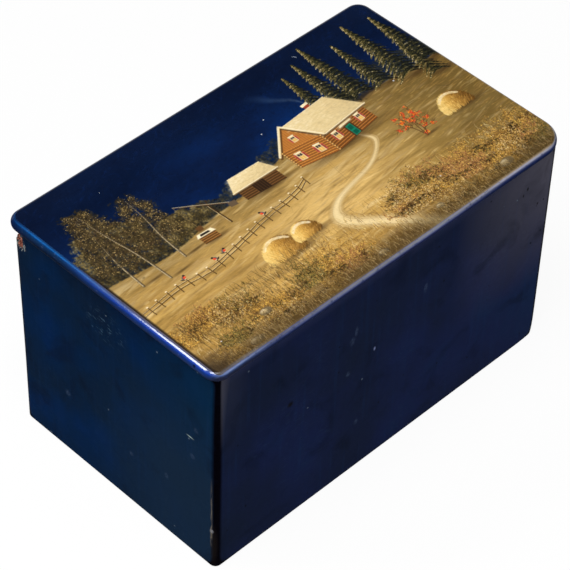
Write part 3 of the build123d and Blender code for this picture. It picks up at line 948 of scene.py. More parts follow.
def paint_fence(cv, points, step, tall):
    """A pole fence along a line, with caps of snow on its posts."""
    line = curve(points, 200)
    run = np.concatenate([[0], np.cumsum(np.hypot(*np.diff(line, axis=0).T))])
    at = np.arange(0, run[-1], step)
    posts = np.stack([np.interp(at, run, line[:, 0]), np.interp(at, run, line[:, 1])], 1)
    for share in (0.38, 0.74):
        rail = posts + (0, tall * share)
        cv.strokes([rail + 0.12 * cv.rng.standard_normal(rail.shape)], 0.42, UMBER, 0.95)
        cv.strokes([rail + (0, 0.22)], 0.18, SNOW, 0.75)
    lean = 0.25 * cv.rng.standard_normal(len(posts))
    uprights = [[p - (0, 0.4), p + (w, tall)] for p, w in zip(posts, lean)]
    cv.strokes(uprights, 0.62, (66, 44, 24), 1, 0.85)
    cv.strokes([np.array(u) - (0.18, 0) for u in uprights], 0.18, STRAW, 0.7)
    tops = np.array([u[1] for u in uprights])
    cv.dabs(*(tops + (0, 0.2)).T, 0.5, 0.3, 0.0, SNOW, 1.0)
    return tops


def paint_finch(cv, x, y, facing):
    """A bullfinch on a post: red breast, black cap, grey back."""
    parts = (
        (-0.9, 0.2, 0.95, 0.3, -0.5, (30, 28, 32)),
        (-0.1, 0.9, 0.95, 0.72, 0.6, (92, 88, 92)),
        (0.22, 0.78, 0.75, 0.6, 0.7, SCARLET),
        (0.5, 1.6, 0.5, 0.46, 0.0, (26, 24, 28)),
        (0.98, 1.5, 0.22, 0.14, -0.2, (54, 48, 44)),
        (0.4, 1.0, 0.3, 0.22, 0.7, (236, 116, 76)),
    )
    for dx, dy, long, wide, angle, tone in parts:
        cv.dabs([x + facing * dx], [y + dy], long, wide, facing * angle, tone, 1.0)


def branch(rng, x, y, angle, length, level, spread, lines, tips, bend=0.0):
    """Collects the lines of a branching twig, and the places of its tips."""
    points = [(x, y)]
    for _ in range(4):
        angle += 0.14 * rng.standard_normal() + bend
        x += math.cos(angle) * length / 4
        y += math.sin(angle) * length / 4
        points.append((x, y))
        if rng.random() < 0.55:
            tips.append((x, y))
    lines.append((level, points))
    tips.append((x, y))
    if level:
        for _ in range(rng.integers(2, 4)):
            start = points[rng.integers(1, 5)]
            turn = angle + spread * rng.uniform(0.5, 1.2) * rng.choice((-1, 1))
            shorter = length * rng.uniform(0.5, 0.75)
            branch(rng, *start, turn, shorter, level - 1, spread, lines, tips, bend)


def paint_birch(cv, x, y, tall, lean):
    """A birch with a pale trunk, hanging twigs and the last golden leaves."""
    rng = cv.rng
    turns = ((0, 0), (0.2, 0.35), (0.75, 0.7), (1, 1))
    trunk = curve([(x + lean * across, y + tall * up) for across, up in turns], 60)
    lines, tips = [], []
    for i in range(15, 60, 2):
        side = 1 if i % 4 == 1 else -1
        length = tall * 0.2 * (1.15 - i / 60) + 1.2
        angle = math.pi / 2 - side * rng.uniform(0.5, 0.9)
        branch(rng, *trunk[i], angle, length, 1, 0.5, lines, tips, -0.24 * side)
    tips = np.array(tips)
    count = len(tips) * 5
    back = tips[rng.integers(0, len(tips), count)] + rng.standard_normal((count, 2)) * (1.0, 1.2)
    deep = vary(rng, [(34, 28, 18), (52, 42, 24), (70, 57, 32)], count)
    cv.dabs(*back.T, 0.8, 0.5, rng.uniform(0, 3, count), deep, 0.62, 0.9)
    cv.strokes([p for _, p in lines], 0.16, (74, 54, 38), 0.8)
    layers = ((0, 1.1, (60, 49, 37)), (-0.12, 0.8, (126, 110, 82)), (-0.26, 0.32, (190, 172, 134)))
    for offset, width, tone in layers:
        cv.strokes([trunk + (offset, 0)], width, tone, 1, 0.2)
    marks = trunk[rng.integers(0, 48, 26)]
    shift = rng.uniform(-0.35, 0.3, len(marks))
    cv.dabs(marks[:, 0] + shift, marks[:, 1], 0.3, 0.1, 0.1, (40, 32, 26), 0.85)
    count = int(len(tips) * 3.8)
    leaf = tips[rng.integers(0, len(tips), count)] + rng.standard_normal((count, 2)) * (0.75, 0.95)
    golds = [(90, 73, 42), (66, 54, 31), (116, 96, 56), (48, 39, 23), (174, 147, 93)]
    tones = vary(rng, golds, count, 0.08)
    cv.dabs(*leaf.T, 0.26, 0.16, rng.uniform(0, 3.1, count), tones, 0.9)


def paint_fir(cv, x, y, tall, wide):
    """A dark fir with drooping boughs, snow and evening light on its left."""
    rng = cv.rng
    shadow(cv, x + wide * 0.5, y - 0.3, wide * 1.5, wide * 0.32)
    count = int(17 * tall * wide)
    s = rng.random(count) ** 1.25
    a = rng.uniform(-1, 1, count)
    tier = s * tall / 2.1 + 0.3 * np.sin(2.2 * a + x)
    rise = tier % 1
    half = wide * (1.02 - s) ** 0.9 * (1.06 - 0.5 * rise) * rng.uniform(0.85, 1.1, count)
    py = y + 0.05 * tall + s * tall * 0.95 - 0.42 * half * np.abs(a) ** 1.5
    light = 0.26 - 0.3 * a + 0.26 * (rise < 0.3) + 0.2 * rng.standard_normal(count) - 0.1 * (1 - s)
    tone = ramp(light, (12, 14, 14), (24, 26, 18), (40, 40, 24), (74, 68, 36), (140, 120, 68), CREAM)
    order = np.argsort(light + 0.5 * rng.random(count))
    px = x + a * half
    cv.dabs(px[order], py[order], 0.55, 0.2, (-0.75 * a)[order], tone[order], 0.8, 0.6)


def paint_rowan(cv, x, y, tall):
    """A bare rowan with clusters of orange-red berries."""
    rng = cv.rng
    lines, tips = [], []
    for turn in (-0.5, -0.2, 0.12, 0.45):
        branch(rng, x, y, math.pi / 2 + turn, tall * 0.55, 3, 0.6, lines, tips)
    widths = [0.2 + 0.16 * level for level, _ in lines]
    cv.strokes([p for _, p in lines], widths, (70, 46, 28), 0.95, 0.6)
    cv.strokes([np.array(p) - (0.1, -0.05) for level, p in lines if level], 0.12, STRAW, 0.6)
    tips = np.array(tips)
    picks = tips[rng.choice(len(tips), min(len(tips), 34), replace=False)]
    for px, py in picks:
        count = int(rng.integers(6, 13))
        bx = px + 0.5 * rng.standard_normal(count)
        by = py - 0.4 + 0.4 * rng.standard_normal(count)
        cv.dabs(bx, by, 0.26, 0.26, 0.0, vary(rng, [SCARLET, ORANGE, (176, 44, 26)], count, 0.08), 1.0)
        cv.dabs(bx[:4] - 0.06, by[:4] + 0.08, 0.09, 0.09, 0.0, (255, 190, 130), 0.9)


def paint_shrub(cv, x, y, tall, wide, tones):
    """A dry shrub: a mound of touches with twigs that stand out of it."""
    rng = cv.rng
    twigs, leaves = 10, 560
    a = rng.standard_normal(leaves) * 0.45
    b = rng.random(leaves)
    turn = rng.uniform(0, 3, leaves)
    mound = vary(rng, [UMBER, SOOT, (84, 58, 28), MOSS], leaves, 0.12)
    cv.dabs(x + a * wide, y + b * tall * 0.45, 0.7, 0.4, turn, mound, 0.78, 0.8)
    lines, tips = [], []
    for _ in range(twigs):
        start = x + wide * 0.4 * rng.standard_normal()
        angle = math.pi / 2 + 0.34 * rng.standard_normal() - 0.25 * (start - x) / max(wide, 0.1)
        branch(rng, start, y, angle, tall * rng.uniform(0.4, 0.8), 2, 0.55, lines, tips)
    widths = [0.14 + 0.07 * level for level, _ in lines]
    bark = vary(rng, [BARK, UMBER, (122, 92, 56)], len(lines))
    cv.strokes([p for _, p in lines], widths, bark, 0.9, 0.6)
    place = np.array(tips)[rng.integers(0, len(tips), leaves)] + 0.32 * rng.standard_normal((leaves, 2))
    turn = rng.uniform(0, 3.1, leaves)
    cv.dabs(*place.T, 0.27, 0.15, turn, vary(rng, tones, leaves, 0.1), 0.9)
    px = x + rng.standard_normal(leaves) * 0.5 * wide
    py = y + np.abs(rng.standard_normal(leaves)) * tall * 0.22 - 0.6
    turn = rng.uniform(0, 3.1, leaves)
    cv.dabs(px, py, 0.3, 0.17, turn, vary(rng, tones, leaves, 0.12), 0.85)


def paint_grass(cv, x0, x1, y0, y1, count, tones, tall):
    """Bent blades, the nearer the longer."""
    rng = cv.rng
    x = rng.uniform(x0, x1, count)
    y = np.sort(rng.uniform(y0, y1, count))[::-1]
    height = tall * rng.uniform(0.5, 1.3, count)
    bend = rng.standard_normal(count) * 0.7
    lines = [[(a, b), (a + 0.3 * k, b + 0.6 * h), (a + k, b + h)] for a, b, h, k in zip(x, y, height, bend)]
    cv.strokes(lines, 0.2, vary(rng, tones, count, 0.1), 0.85, 0.4)


def paint_stone(cv, x, y, wide, tall):
    """A boulder, lit from the left and with snow on its back."""
    rng = cv.rng
    tone = (180, 158, 116)
    cv.dabs([x + 0.2], [y - 0.3], wide * 1.12, tall, 0.0, (62, 46, 26), 0.8, 0.5)
    cv.dabs([x], [y], wide, tall, 0.08, rgb(tone) * 0.62, 1.0, 0.15)
    cv.dabs([x - wide * 0.2], [y + tall * 0.2], wide * 0.74, tall * 0.7, 0.1, tone, 1.0, 0.6)
    cv.dabs([x - wide * 0.28], [y + tall * 0.48], wide * 0.5, tall * 0.34, 0.12, SNOW, 0.75, 0.8)
    count = 26
    px, py = x + wide * 0.5 * rng.standard_normal(count), y + tall * 0.4 * rng.standard_normal(count)
    keep = ((px - x) / wide) ** 2 + ((py - y) / tall) ** 2 < 0.8
    cv.dabs(px[keep], py[keep], 0.22, 0.12, 0.4, vary(rng, [tone, (110, 92, 60), CREAM], keep.sum()), 0.45)


def paint_front(cv):
    """Shrubs, grasses and stones in a dense tangle along the front, open where the path runs."""
    rng = cv.rng
    warm = [GOLD, STRAW, OCHRE, OCHRE, (140, 96, 40), (116, 82, 38)]
    russet = [(150, 98, 62), (172, 120, 70), (120, 78, 50), STRAW, OCHRE]
    green = [OLIVE, (112, 100, 50), OCHRE, (150, 130, 74), MOSS]
    straw = [STRAW, CREAM, OCHRE, (120, 92, 48), BARK]
    path_x, path_y = curve(PATH_TURNS).T
    rows = 46
    for i in range(rows):
        y = -30 - 18.5 * i / (rows - 1)
        x = rng.uniform(-80, 80)
        clear = abs(x - np.interp(-y, -path_y, path_x)) > 9 and (y < -38 or abs(x + 22) > 26)
        if i % 6 == 0:
            paint_grass(cv, -80, 80, y - 1, y + 4, 330, straw, 2.4)
        if clear:
            tall, wide = rng.uniform(5, 9), rng.uniform(5, 9)
            shadow(cv, x + 1, y, wide * 1.2, 1.8, 0.45)
            paint_shrub(cv, x, y, tall, wide, (warm, russet, green, warm, straw)[i % 5])
    stones = (
        (-51.5, -39, 2.6, 1.5), (-62, -46.2, 3.2, 1.6), (56.5, -44.2, 3.4, 1.9),
        (24.5, -43.5, 1.8, 1.1), (-5.0, -46, 2.4, 1.3),
    )
    for stone in stones:
        paint_stone(cv, *stone)
    paint_grass(cv, -80, 80, -49.5, -44, 900, straw, 1.9)


def paint_picture():
    """The whole picture, as linear colours on the grid of the lid's film, front row first."""
    cv = Canvas(PICTURE_SEED)
    paint_sky(cv)
    paint_woods(cv)
    paint_land(cv)
    firs = (
        (46, 12, 33, 6.0), (31, 12, 25, 5.2), (38.5, 11, 29, 5.6), (56, 11, 27, 5.6),
        (77, 10, 30, 6.4), (66, 8, 35, 7.2), (74, 3, 19, 5.4),
    )
    for fir in firs:
        paint_fir(cv, *fir)
    paint_path(cv)
    shadow(cv, -9, 0.4, 14, 1.8)
    paint_barn(cv)
    shadow(cv, 24, -1.6, 25, 3.2)
    paint_cottage(cv)
    shadow(cv, -39, -4.8, 7, 1.2)
    paint_well(cv)
    for x, y, wide, tall in ((-28, -27, 8.2, 9.6), (-16.5, -24.5, 5.6, 6.6), (66, -15, 7.0, 8.4)):
        shadow(cv, x + wide * 0.5, y - 0.2, wide * 1.5, 1.9)
        paint_haystack(cv, x, y, wide, tall)
    for x, y, tall, lean in ((-72, -5, 38, 4.0), (-63, -8, 41, -3.5), (-53, -4, 32, 3.2)):
        shadow(cv, x + 5, y, 7, 0.8)
        paint_birch(cv, x, y, tall, lean)
    tops = paint_fence(cv, [(-82, -17), (-64, -15), (-50, -16), (-22, -11), (-6, -9), (4, -5)], 4.4, 3.6)
    for i, facing in ((5, 1), (8, -1), (9, 1), (14, -1)):
        paint_finch(cv, *tops[i], facing)
    shadow(cv, 49, -17, 6, 0.9)
    paint_rowan(cv, 47, -17, 14)
    paint_front(cv)
    cv.strokes([[(42.0, 42.9), (42.6, 42.4), (42.8, 41.7)]], 0.3, (196, 206, 214), 0.9)
    front = np.clip((-40.5 - cv.y + 0.6 * np.sin(cv.x / 5)) / 6, 0, 1) + 0 * cv.x
    cv.glaze((58, 46, 28), front * 0.6)
    tufts = [(70, 52, 28), (48, 37, 21), (98, 76, 42), (150, 120, 70)]
    paint_grass(cv, -78, -26, -43, -25, 800, tufts, 2.6)
    tufts = [(150, 124, 80), (116, 94, 54), (178, 154, 108), (70, 54, 30)]
    paint_grass(cv, -82, 82, -49.5, -43.5, 900, tufts, 2.0)
    corner = np.hypot(cv.x + 81, cv.y + 48)
    cv.glaze((40, 32, 26), np.clip(1.3 - corner / 9, 0, 1) * 0.6)
    hem = np.clip(1.7 - (cv.x + PICTURE_HALF_X) / 0.7, 0, 1) * np.clip((16 - cv.y) / 8, 0, 1)
    cv.glaze((34, 28, 24), hem * 0.92)
    # A pale painted highlight along the picture's front edge: bluer at the left end, paler and stronger
    # towards the right, fading at the right corner
    near = np.clip((-56 - cv.x) / 12, 0, 1) + 0 * cv.y
    pale = mix((112, 104, 92), (176, 164, 150), np.clip((cv.x - 20) / 30, 0, 1) + 0 * cv.y)
    pale = mix(pale, (100, 104, 122), near)
    edge = np.clip(1 + 0.5 * near - (cv.y + PICTURE_HALF_Y) / 0.9, 0, 1)
    edge = edge * (0.6 + 0.3 * np.clip((cv.x - 24) / 30, 0, 1)) * np.clip((80.5 - cv.x) / 3, 0, 1)
    cv.glaze(pale, edge)
    size = GRID_SHARE
    small = cv.pixels.reshape(cv.height // size, size, cv.width // size, size, 3).mean((1, 3))
    linear = np.where(small <= 0.04045, small / 12.92, ((small + 0.055) / 1.055) ** 2.4)
    return linear[::-1]


def crowd(count, share):
    """Shares from 0 to 1 that lie closer together towards both ends."""
    u = np.linspace(0, 1, count)
    return (1 - share) * u + share * (0.5 - 0.5 * np.cos(np.pi * u))


def ring(low, high, radius, across, along, turns):
    """A rounded rectangle's points and outward normals, corner by corner from the front right."""
    shares = {0: along, 1: across}
    points, normals = [], []
    left, right, front, back = low.x + radius, high.x - radius, low.y + radius, high.y - radius
    centres = np.array([(right, front), (right, back), (left, back), (left, front)])
    for i, centre in enumerate(centres):
        angle = np.radians(-90 + 90 * i) + turns * np.pi / 2
        normal = np.stack([np.cos(angle), np.sin(angle)], 1)
        arc = centre + radius * normal
        start = centres[(i + 1) % 4] + radius * normal[-1]
        side = arc[-1] + (start - arc[-1]) * shares[i % 2][1:-1, None]
        points.append(np.concatenate([arc, side]))
        normals.append(np.concatenate([normal, np.repeat(normal[-1:], len(side), 0)]))
    return np.concatenate(points), np.concatenate(normals)


def waves(a, b, seed, lengths, height):
    """A gentle unevenness over two coordinates, from a few crossing waves."""
    rng = np.random.default_rng(seed)
    total = 0
    for length in lengths:
        turn, phase = rng.uniform(0, math.tau, 2)
        run = a * math.cos(turn) + b * math.sin(turn)
        total = total + np.sin(run * math.tau / length + phase) * length
    return total * height / sum(lengths)


def quads_round(rings, around):
    """Quads between rings of points, the last ring joined to the first."""
    r = np.arange(rings)[:, None]
    a = np.arange(around)[None, :]
    here, there = r * around, (r + 1) % rings * around
    following = (a + 1) % around
    return np.stack([here + a, here + following, there + following, there + a], -1).reshape(-1, 4)


def mesh_object(name, points, faces, smooth_angle=SMOOTH_ANGLE):
    """A smooth mesh in the scene, sharp where its faces meet at more than the angle."""
    mesh = bpy.data.meshes.new(name)
    mesh.from_pydata(np.asarray(points).tolist(), [], [list(map(int, f)) for f in faces])
    mesh.update()
    mesh.shade_smooth()
    mesh.set_sharp_from_angle(angle=smooth_angle)
    obj = bpy.data.objects.new(name, mesh)
    bpy.context.collection.objects.link(obj)
    return obj


def set_attribute(mesh, name, values):
    """Stores one number for each of a mesh's points."""
    layer = mesh.attributes.new(name, "FLOAT", "POINT")
    layer.data.foreach_set("value", np.asarray(values, np.float32))


def mesh_points(mesh):
    """A mesh's points as an array."""
    co = np.zeros(len(mesh.vertices) * 3)
    mesh.vertices.foreach_get("co", co)
    return co.reshape(-1, 3)


def chip_mask(points, low, high):
    """How far inside the chip each point lies: 1 deep in it, 0 outside. The chip is at the back left
    corner under the lid, longer than wide, and leans down the left wall."""
    inwards = high.y - points[:, 1] - CHIP_IN
    down = high.z - points[:, 2] - CHIP_DOWN
    lean, plumb = CHIP_LEAN
    along = inwards * lean + down * plumb
    across = inwards * plumb - down * lean
    ragged = waves(points[:, 1] * 1.7, points[:, 2], 5, CHIP_WAVE_LENGTHS, 0.5)
    reach = 1 - (along / CHIP_LONG) ** 2 - (across / CHIP_WIDE) ** 2 + ragged
    near = (points[:, 0] < low.x + WALL * 0.9) & (points[:, 2] > high.z - 3 * CHIP_LONG)
    return np.where(near, np.clip(reach * 0.9 + 0.25, 0, 1), 0)


def hinge_cutter(high):
    """What the leaf and the barrel of the hinge take out of the walls, as one closed mesh."""
    leaf_low, leaf_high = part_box("hinge_body_leaf")
    x0, x1 = leaf_low.x - RECESS_CLEARANCE, leaf_high.x + RECESS_CLEARANCE
    axis = frame["joints"][0]["pos_m"]
    radius = BARREL_RECESS_RADIUS
    top = high.z + radius
    floor_z = high.z - RECESS_DEPTH
    front = leaf_low.y - RECESS_CLEARANCE
    start = math.asin((axis[2] - floor_z) / radius)
    turns = np.linspace(math.pi + start, math.tau, 20)
    outline = [(front, top), (front, floor_z)]
    outline += [(axis[1] + radius * math.cos(a), axis[2] + radius * math.sin(a)) for a in turns]
    outline.append((axis[1] + radius, top))
    n = len(outline)
    points = [(x, y, z) for x in (x0, x1) for y, z in outline]
    faces = [list(range(n))[::-1], list(range(n, 2 * n))]
    faces += [[i, (i + 1) % n, n + (i + 1) % n, n + i] for i in range(n)]
    return mesh_object("hinge_cutter", points, faces)


def build_walls():
    """The wound tube: walls that are never quite flat, worn corners and a chip under the lid."""
    low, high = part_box("wall_tube")
    across, along = crowd(WALL_COLUMNS_LONG, 0.7), crowd(WALL_COLUMNS_SHORT, 0.7)
    turns = np.linspace(0, 1, 9)

    def level(inset, radius, z):
        """The points and normals of one ring, inside the wall's outline at a height."""
        step = Vector((inset, inset, 0))
        points, normals = ring(low + step, high - step, radius, across, along, turns)
        heights = np.full(len(points), z)
        return np.column_stack([points, heights]), np.column_stack([normals, 0 * heights])

    levels = [
        level(WALL - REBATE_WIDTH, REBATE_CORNER_RADIUS, low.z + BOTTOM_THICKNESS),
        level(WALL - REBATE_WIDTH, REBATE_CORNER_RADIUS, low.z),
    ]
    for a in np.linspace(0, np.pi / 2, 6):
        inset = FOOT_ROUND * (1 - math.sin(a))
        levels.append(level(inset, BODY_CORNER_RADIUS - inset, low.z + FOOT_ROUND * (1 - math.cos(a))))
    first = len(levels)
    span = high.z - MOUTH_ROUND - low.z - FOOT_ROUND
    for share in crowd(WALL_ROWS, 0.6)[1:-1]:
        levels.append(level(0, BODY_CORNER_RADIUS, low.z + FOOT_ROUND + span * share))
    last = len(levels)
    for a in np.linspace(0, np.pi / 2, 4):
        inset = MOUTH_ROUND * (1 - math.cos(a))
        levels.append(level(inset, BODY_CORNER_RADIUS - inset, high.z - MOUTH_ROUND * (1 - math.sin(a))))
    rim = len(levels)
    for z in np.linspace(high.z, low.z + BOTTOM_THICKNESS, 16):
        levels.append(level(WALL, INNER_CORNER_RADIUS, z))
    around = len(levels[0][0])
    points = np.concatenate([p for p, _ in levels])
    normals = np.concatenate([n for _, n in levels])
    outside = np.zeros(len(points), bool)
    outside[first * around : last * around] = True
    run = np.tile(np.arange(around) * MM, len(levels))
    push = np.where(outside, waves(run, points[:, 2], 3, WAVE_LENGTHS, WAVE_HEIGHT), 0)
    fade = np.clip((high.z - points[:, 2]) / WAVE_FADE, 0, 1)
    fade = fade * np.clip((points[:, 2] - low.z) / WAVE_FADE, 0, 1)
    chip = chip_mask(points, low, high)
    deep = np.clip((chip - 0.3) / 0.35, 0, 1) ** 1.5
    rough = 1 + waves(points[:, 1], points[:, 2], 9, (0.7 * MM, 1.3 * MM), 0.35)
    worn = np.zeros(len(points))
    worn[2 * around : last * around] = FOOT_CORNER_WEAR
    from_foot = (high.x - points[:, 0]) + (points[:, 1] - low.y) + (points[:, 2] - low.z)
    worn *= np.exp(-from_foot / FOOT_WEAR_REACH)
    points = points + normals * (push * fade - CHIP_DEPTH * deep * rough - worn)[:, None]
    from_corner = (points[:, 0] - low.x) + (high.y - points[:, 1])
    rise = np.clip((points[:, 2] - low.z) / (high.z - low.z), 0, 1) ** 2.5
    flare = FLARE * rise * np.exp(-np.maximum(from_corner, 0) / FLARE_REACH)
    points[:, 0] -= np.where(outside, flare, 0)
    walls = mesh_object("lacquered_walls", points, quads_round(len(levels), around))
    walls.data.materials.append(blue_lacquer())
    walls.data.materials.append(red_lacquer("red_lacquer_inside"))
    index = np.zeros(len(walls.data.polygons), np.int32)
    index[(rim - 1) * around :] = 1
    walls.data.polygons.foreach_set("material_index", index)
    cutter = hinge_cutter(high)
    cutter.data.materials.append(walls.data.materials[1])
    cut = walls.modifiers.new("hinge_recess", "BOOLEAN")
    cut.operation = "DIFFERENCE"
    cut.solver = "EXACT"
    cut.object = cutter
    graph = bpy.context.evaluated_depsgraph_get()
    made = bpy.data.meshes.new_from_object(walls.evaluated_get(graph))
    walls.modifiers.clear()
    walls.data = made
    bpy.data.objects.remove(cutter)
    co = mesh_points(made)
    set_attribute(made, "chip", chip_mask(co, low, high))
    set_attribute(made, "wear_and_shade", wall_wear_and_shade(co, low, high))
    made.set_sharp_from_angle(angle=SMOOTH_ANGLE)
    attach(walls, "case")
    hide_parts("wall_tube")


def wall_wear_and_shade(points, low, high):
    """How near each point lies to the upright corners, the foot and the mouth: where the walls are worn,
    soiled and painted in shade.
    """
    x = np.minimum(points[:, 0] - low.x, high.x - points[:, 0])
    y = np.minimum(points[:, 1] - low.y, high.y - points[:, 1])
    z = np.minimum(points[:, 2] - low.z, high.z - points[:, 2])
    corner = np.exp(-((np.maximum(x, 0) + np.maximum(y, 0)) / CORNER_WEAR_AND_SHADE_REACH))
    foot = np.exp(-np.maximum(points[:, 2] - low.z, 0) / FOOT_SOIL_AND_SHADE_REACH)
    mouth = np.exp(-np.maximum(z, 0) / MOUTH_SOIL_AND_SHADE_REACH) * (points[:, 2] > high.z / 2)
    return np.clip(corner + 0.8 * foot + 0.7 * mouth, 0, 1)


def film_half_width(y, low, high, side, inset):
    """How far the film reaches to one side at each y, inside the lid's round corners."""
    back = LID_CORNER_RADIUS - inset
    front = LID_WORN_CORNER_RADIUS - inset if side > 0 else FILM_NEAR_CORNER_RADIUS
    half = high.x
    for edge, radius, inwards in ((low.y, front, 1), (high.y, back, -1)):
        depth = np.clip(1 - (y - edge) * inwards / radius, 0, 1)
        half = np.minimum(half, high.x - radius * (1 - np.sqrt(1 - depth**2)))
    return half


def lid_edge_distance(x, y, low, high):
    """How far inside the lid's outline each point lies, with its round corners."""
    in_x = np.minimum(x - low.x, high.x - x)
    in_y = np.minimum(y - low.y, high.y - y)
    radius = np.where((x > 0) & (y < 0), LID_WORN_CORNER_RADIUS, LID_CORNER_RADIUS)
    out_x, out_y = np.maximum(radius - in_x, 0), np.maximum(radius - in_y, 0)
    in_corner = (out_x > 0) & (out_y > 0)
    return np.where(in_corner, radius - np.hypot(out_x, out_y), np.minimum(in_x, in_y))


def lay_out(mesh, low, top_count, length):
    """Lays the film flat for baking: its face from above, and its underside in the space beside it."""
    corners = np.zeros(len(mesh.loops), np.int32)
    mesh.loops.foreach_get("vertex_index", corners)
    flat = (mesh_points(mesh)[:, :2] - (low.x, low.y)) / length
    under = np.arange(len(flat)) >= top_count
    flat[under] = flat[under] * BAKE_UNDER_SIZE + (0, 1 - BAKE_UNDER_SIZE)
    places = BAKE_MARGIN + (1 - 2 * BAKE_MARGIN) * flat[corners]
    layer = mesh.uv_layers.new(name="OFBake")
    layer.data.foreach_set("uv", places.astype(np.float32).ravel())


def build_picture():
    """The painted film on the lid's flat, with the picture's colours on its points."""
    board_low, board_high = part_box("lid_board")
    inset = LID_EDGE_RADIUS * (1 - math.sin(FILM_WRAP))
    low = board_low + Vector((LID_EDGE_RADIUS, inset, 0))
    high = board_high - Vector((inset, inset, 0))
    picture = paint_picture()
    rows, columns = picture.shape[:2]
    ys = np.linspace(low.y, high.y, rows)
    xs = np.linspace(low.x, high.x, columns)
    right = film_half_width(ys, low, high, 1, inset)[:, None] - high.x
    left = film_half_width(ys, low, high, -1, inset)[:, None] - high.x
    pull = np.clip(1 - np.minimum(high.x - xs, xs - low.x) / FILM_EASE, 0, 1)[None, :]
    x = xs[None, :] + np.where(xs > 0, right, -left) * pull
    y = np.broadcast_to(ys[:, None], x.shape)
    column = (x - low.x) / (high.x - low.x) * (columns - 1)
    c0 = np.clip(column.astype(int), 0, columns - 2)
    part = (column - c0)[..., None]
    r0 = np.arange(rows)[:, None]
    colours = picture[r0, c0] * (1 - part) + picture[r0, c0 + 1] * part
    light = colours.mean(2) ** 0.4
    soft = light.copy()
    soft[1:-1, 1:-1] = (light[:-2, 1:-1] + light[2:, 1:-1] + light[1:-1, :-2] + light[1:-1, 2:]) / 4
    over = np.maximum(LID_EDGE_RADIUS - lid_edge_distance(x, y, board_low, board_high), 0)
    z = board_high.z - LID_EDGE_RADIUS + np.sqrt(LID_EDGE_RADIUS**2 - over**2)
    z += FILM_THICKNESS - FILM_SUNK + FILM_RELIEF * np.clip((light - soft) * 6, -1, 1) * (over == 0)
    top = np.stack([x, y, z], -1).reshape(-1, 3)
    grid = np.arange(rows * columns).reshape(rows, columns)
    faces = np.stack([grid[:-1, :-1], grid[:-1, 1:], grid[1:, 1:], grid[1:, :-1]], -1)
    faces = faces.reshape(-1, 4).tolist()
    rim = np.concatenate([grid[0, :-1], grid[:-1, -1], grid[-1, :0:-1], grid[:0:-1, 0]])
    foot = top[rim].copy()
    foot[:, 2] -= FILM_THICKNESS
    below = len(top) + np.arange(len(rim))
    for i in range(len(rim)):
        k = (i + 1) % len(rim)
        faces.append([rim[k], rim[i], below[i], below[k]])
    front, back = below[:columns], below[columns + rows - 2 : 2 * columns + rows - 2][::-1]
    faces += [[front[i], back[i], back[i + 1], front[i + 1]] for i in range(1, columns - 2)]
    left_end = np.concatenate([below[2 * columns + rows - 3 :], below[:2], back[1::-1]])
    right_end = np.concatenate([below[columns - 2 : columns + rows], back[-2:-1]])
    faces += [list(dict.fromkeys(end.tolist()))[::-1] for end in (left_end, right_end)]
    film = mesh_object("lid_painting", np.concatenate([top, foot]), faces, FILM_SMOOTH_ANGLE)
    lay_out(film.data, low, len(top), high.x - low.x)
    layer = film.data.color_attributes.new("picture", "FLOAT_COLOR", "POINT")
    flat = colours.reshape(-1, 3)
    flat = np.concatenate([flat, flat[rim]])
    flat = np.column_stack([flat, np.ones(len(flat))])
    layer.data.foreach_set("color", flat.astype(np.float32).ravel())
    film.data.materials.append(varnished_picture())
    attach(film, "lid")


def aimed(data, place, aim, roll):
    """A camera or lamp in the scene that points at a place, turned about its axis in degrees."""
    obj = bpy.data.objects.new(data.name, data)
    bpy.context.collection.objects.link(obj)
    turn = (Vector(aim) - Vector(place)).to_track_quat("-Z", "Y").to_matrix().to_4x4()
    obj.matrix_world = Matrix.Translation(place) @ turn @ Matrix.Rotation(math.radians(roll), 4, "Z")
    return obj


def camera():
    """The photograph's camera."""
    data = bpy.data.cameras.new("camera")
    data.lens, data.sensor_width = LENS_MM, SENSOR_MM
    data.clip_start, data.clip_end = CAMERA_SEES
    bpy.context.scene.camera = aimed(data, CAMERA_PLACE, CAMERA_AIM, CAMERA_ROLL)


def softbox(name, place, aim, size, power, roll=0.0):
    """A rectangular lamp that points at a place. Power is in watts."""
    data = bpy.data.lights.new(name, "AREA")
    data.shape = "RECTANGLE"
    data.size, data.size_y = size
    data.energy = power
    aimed(data, place, aim, roll)


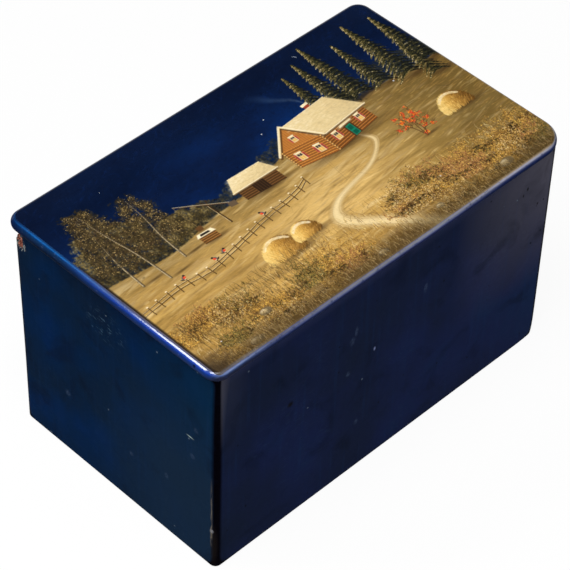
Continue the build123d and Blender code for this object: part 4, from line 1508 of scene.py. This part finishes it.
def studio_floor():
    """A wide pale floor. What looks at it straight sees it near white, under a soft shadow."""
    corners = [(x * FLOOR_HALF, y * FLOOR_HALF, 0) for x, y in ((-1, -1), (1, -1), (1, 1), (-1, 1))]
    obj = mesh_object("floor", corners, [(0, 1, 2, 3)])
    obj.location.z = -FLOOR_GAP
    mat = bpy.data.materials.new("floor")
    mat.use_nodes = True
    n = Nodes(mat.node_tree)
    plain = n.tree.nodes["Principled BSDF"]
    for name, value in (("Base Color", (0.8, 0.8, 0.8)), ("Roughness", 0.9), ("Specular IOR Level", 0.0)):
        n.put(plain.inputs[name], value)
    glow = n.add("ShaderNodeEmission", Strength=1.0)
    rays = n.add("ShaderNodeLightPath").outputs
    seen = n.math("MAXIMUM", rays["Is Camera Ray"], rays["Is Glossy Ray"])
    seen = n.math("MAXIMUM", seen, rays["Is Transmission Ray"])
    both = n.add("ShaderNodeMixShader", n.times(seen, FLOOR_GLOW), plain.outputs[0], glow.outputs[0])
    n.put(n.tree.nodes["Material Output"].inputs["Surface"], both.outputs[0])
    obj.data.materials.append(mat)


def studio_world():
    """Pale near the horizon, like a studio's walls, and dark overhead, where the lamps hang."""
    world = bpy.data.worlds.new("studio")
    bpy.context.scene.world = world
    world.use_nodes = True
    n = Nodes(world.node_tree)
    height = n.split(n.add("ShaderNodeTexCoord").outputs["Generated"])[2]
    ramp = n.add("ShaderNodeValToRGB", height)
    low, high = ramp.color_ramp.elements
    low.position, low.color = 0.30, (0.8, 0.8, 0.8, 1)
    high.position, high.color = 0.50, (0.03, 0.03, 0.035, 1)
    n.put(n.tree.nodes["Background"].inputs["Color"], ramp.outputs[0])


def lights():
    """A key over the left shoulder, a soft fill, and a lamp that shows along the lid's left edge."""
    softbox("key", (-0.42, -0.18, 1.15), (0, 0, 0.05), (0.7, 0.7), 15)
    softbox("edge_left", (-0.298, 0.262, 0.596), (-0.082, -0.028, 0.096), (0.36, 0.09), 1.35, -45)
    softbox("fill", (0.5, -0.9, 0.5), (0, 0, 0.05), (0.6, 0.6), 1.9)


def dress_cad():
    """Gives each node that stays its own finish."""
    finishes = {"lid_board": lid_lacquer(), "bottom_board": black_lacquer()}
    strip, metal = red_lacquer("red_lacquer_strips"), brass()
    for name, obj in frame["nodes"].items():
        finish = finishes.get(name, strip if name.startswith("lid_strip") else metal)
        for slot in obj.material_slots:
            slot.link = "OBJECT"
            slot.material = finish


camera()
studio_world()
studio_floor()
lights()
build_walls()
build_picture()
dress_cad()
bpy.context.scene.view_settings.view_transform = "Standard"
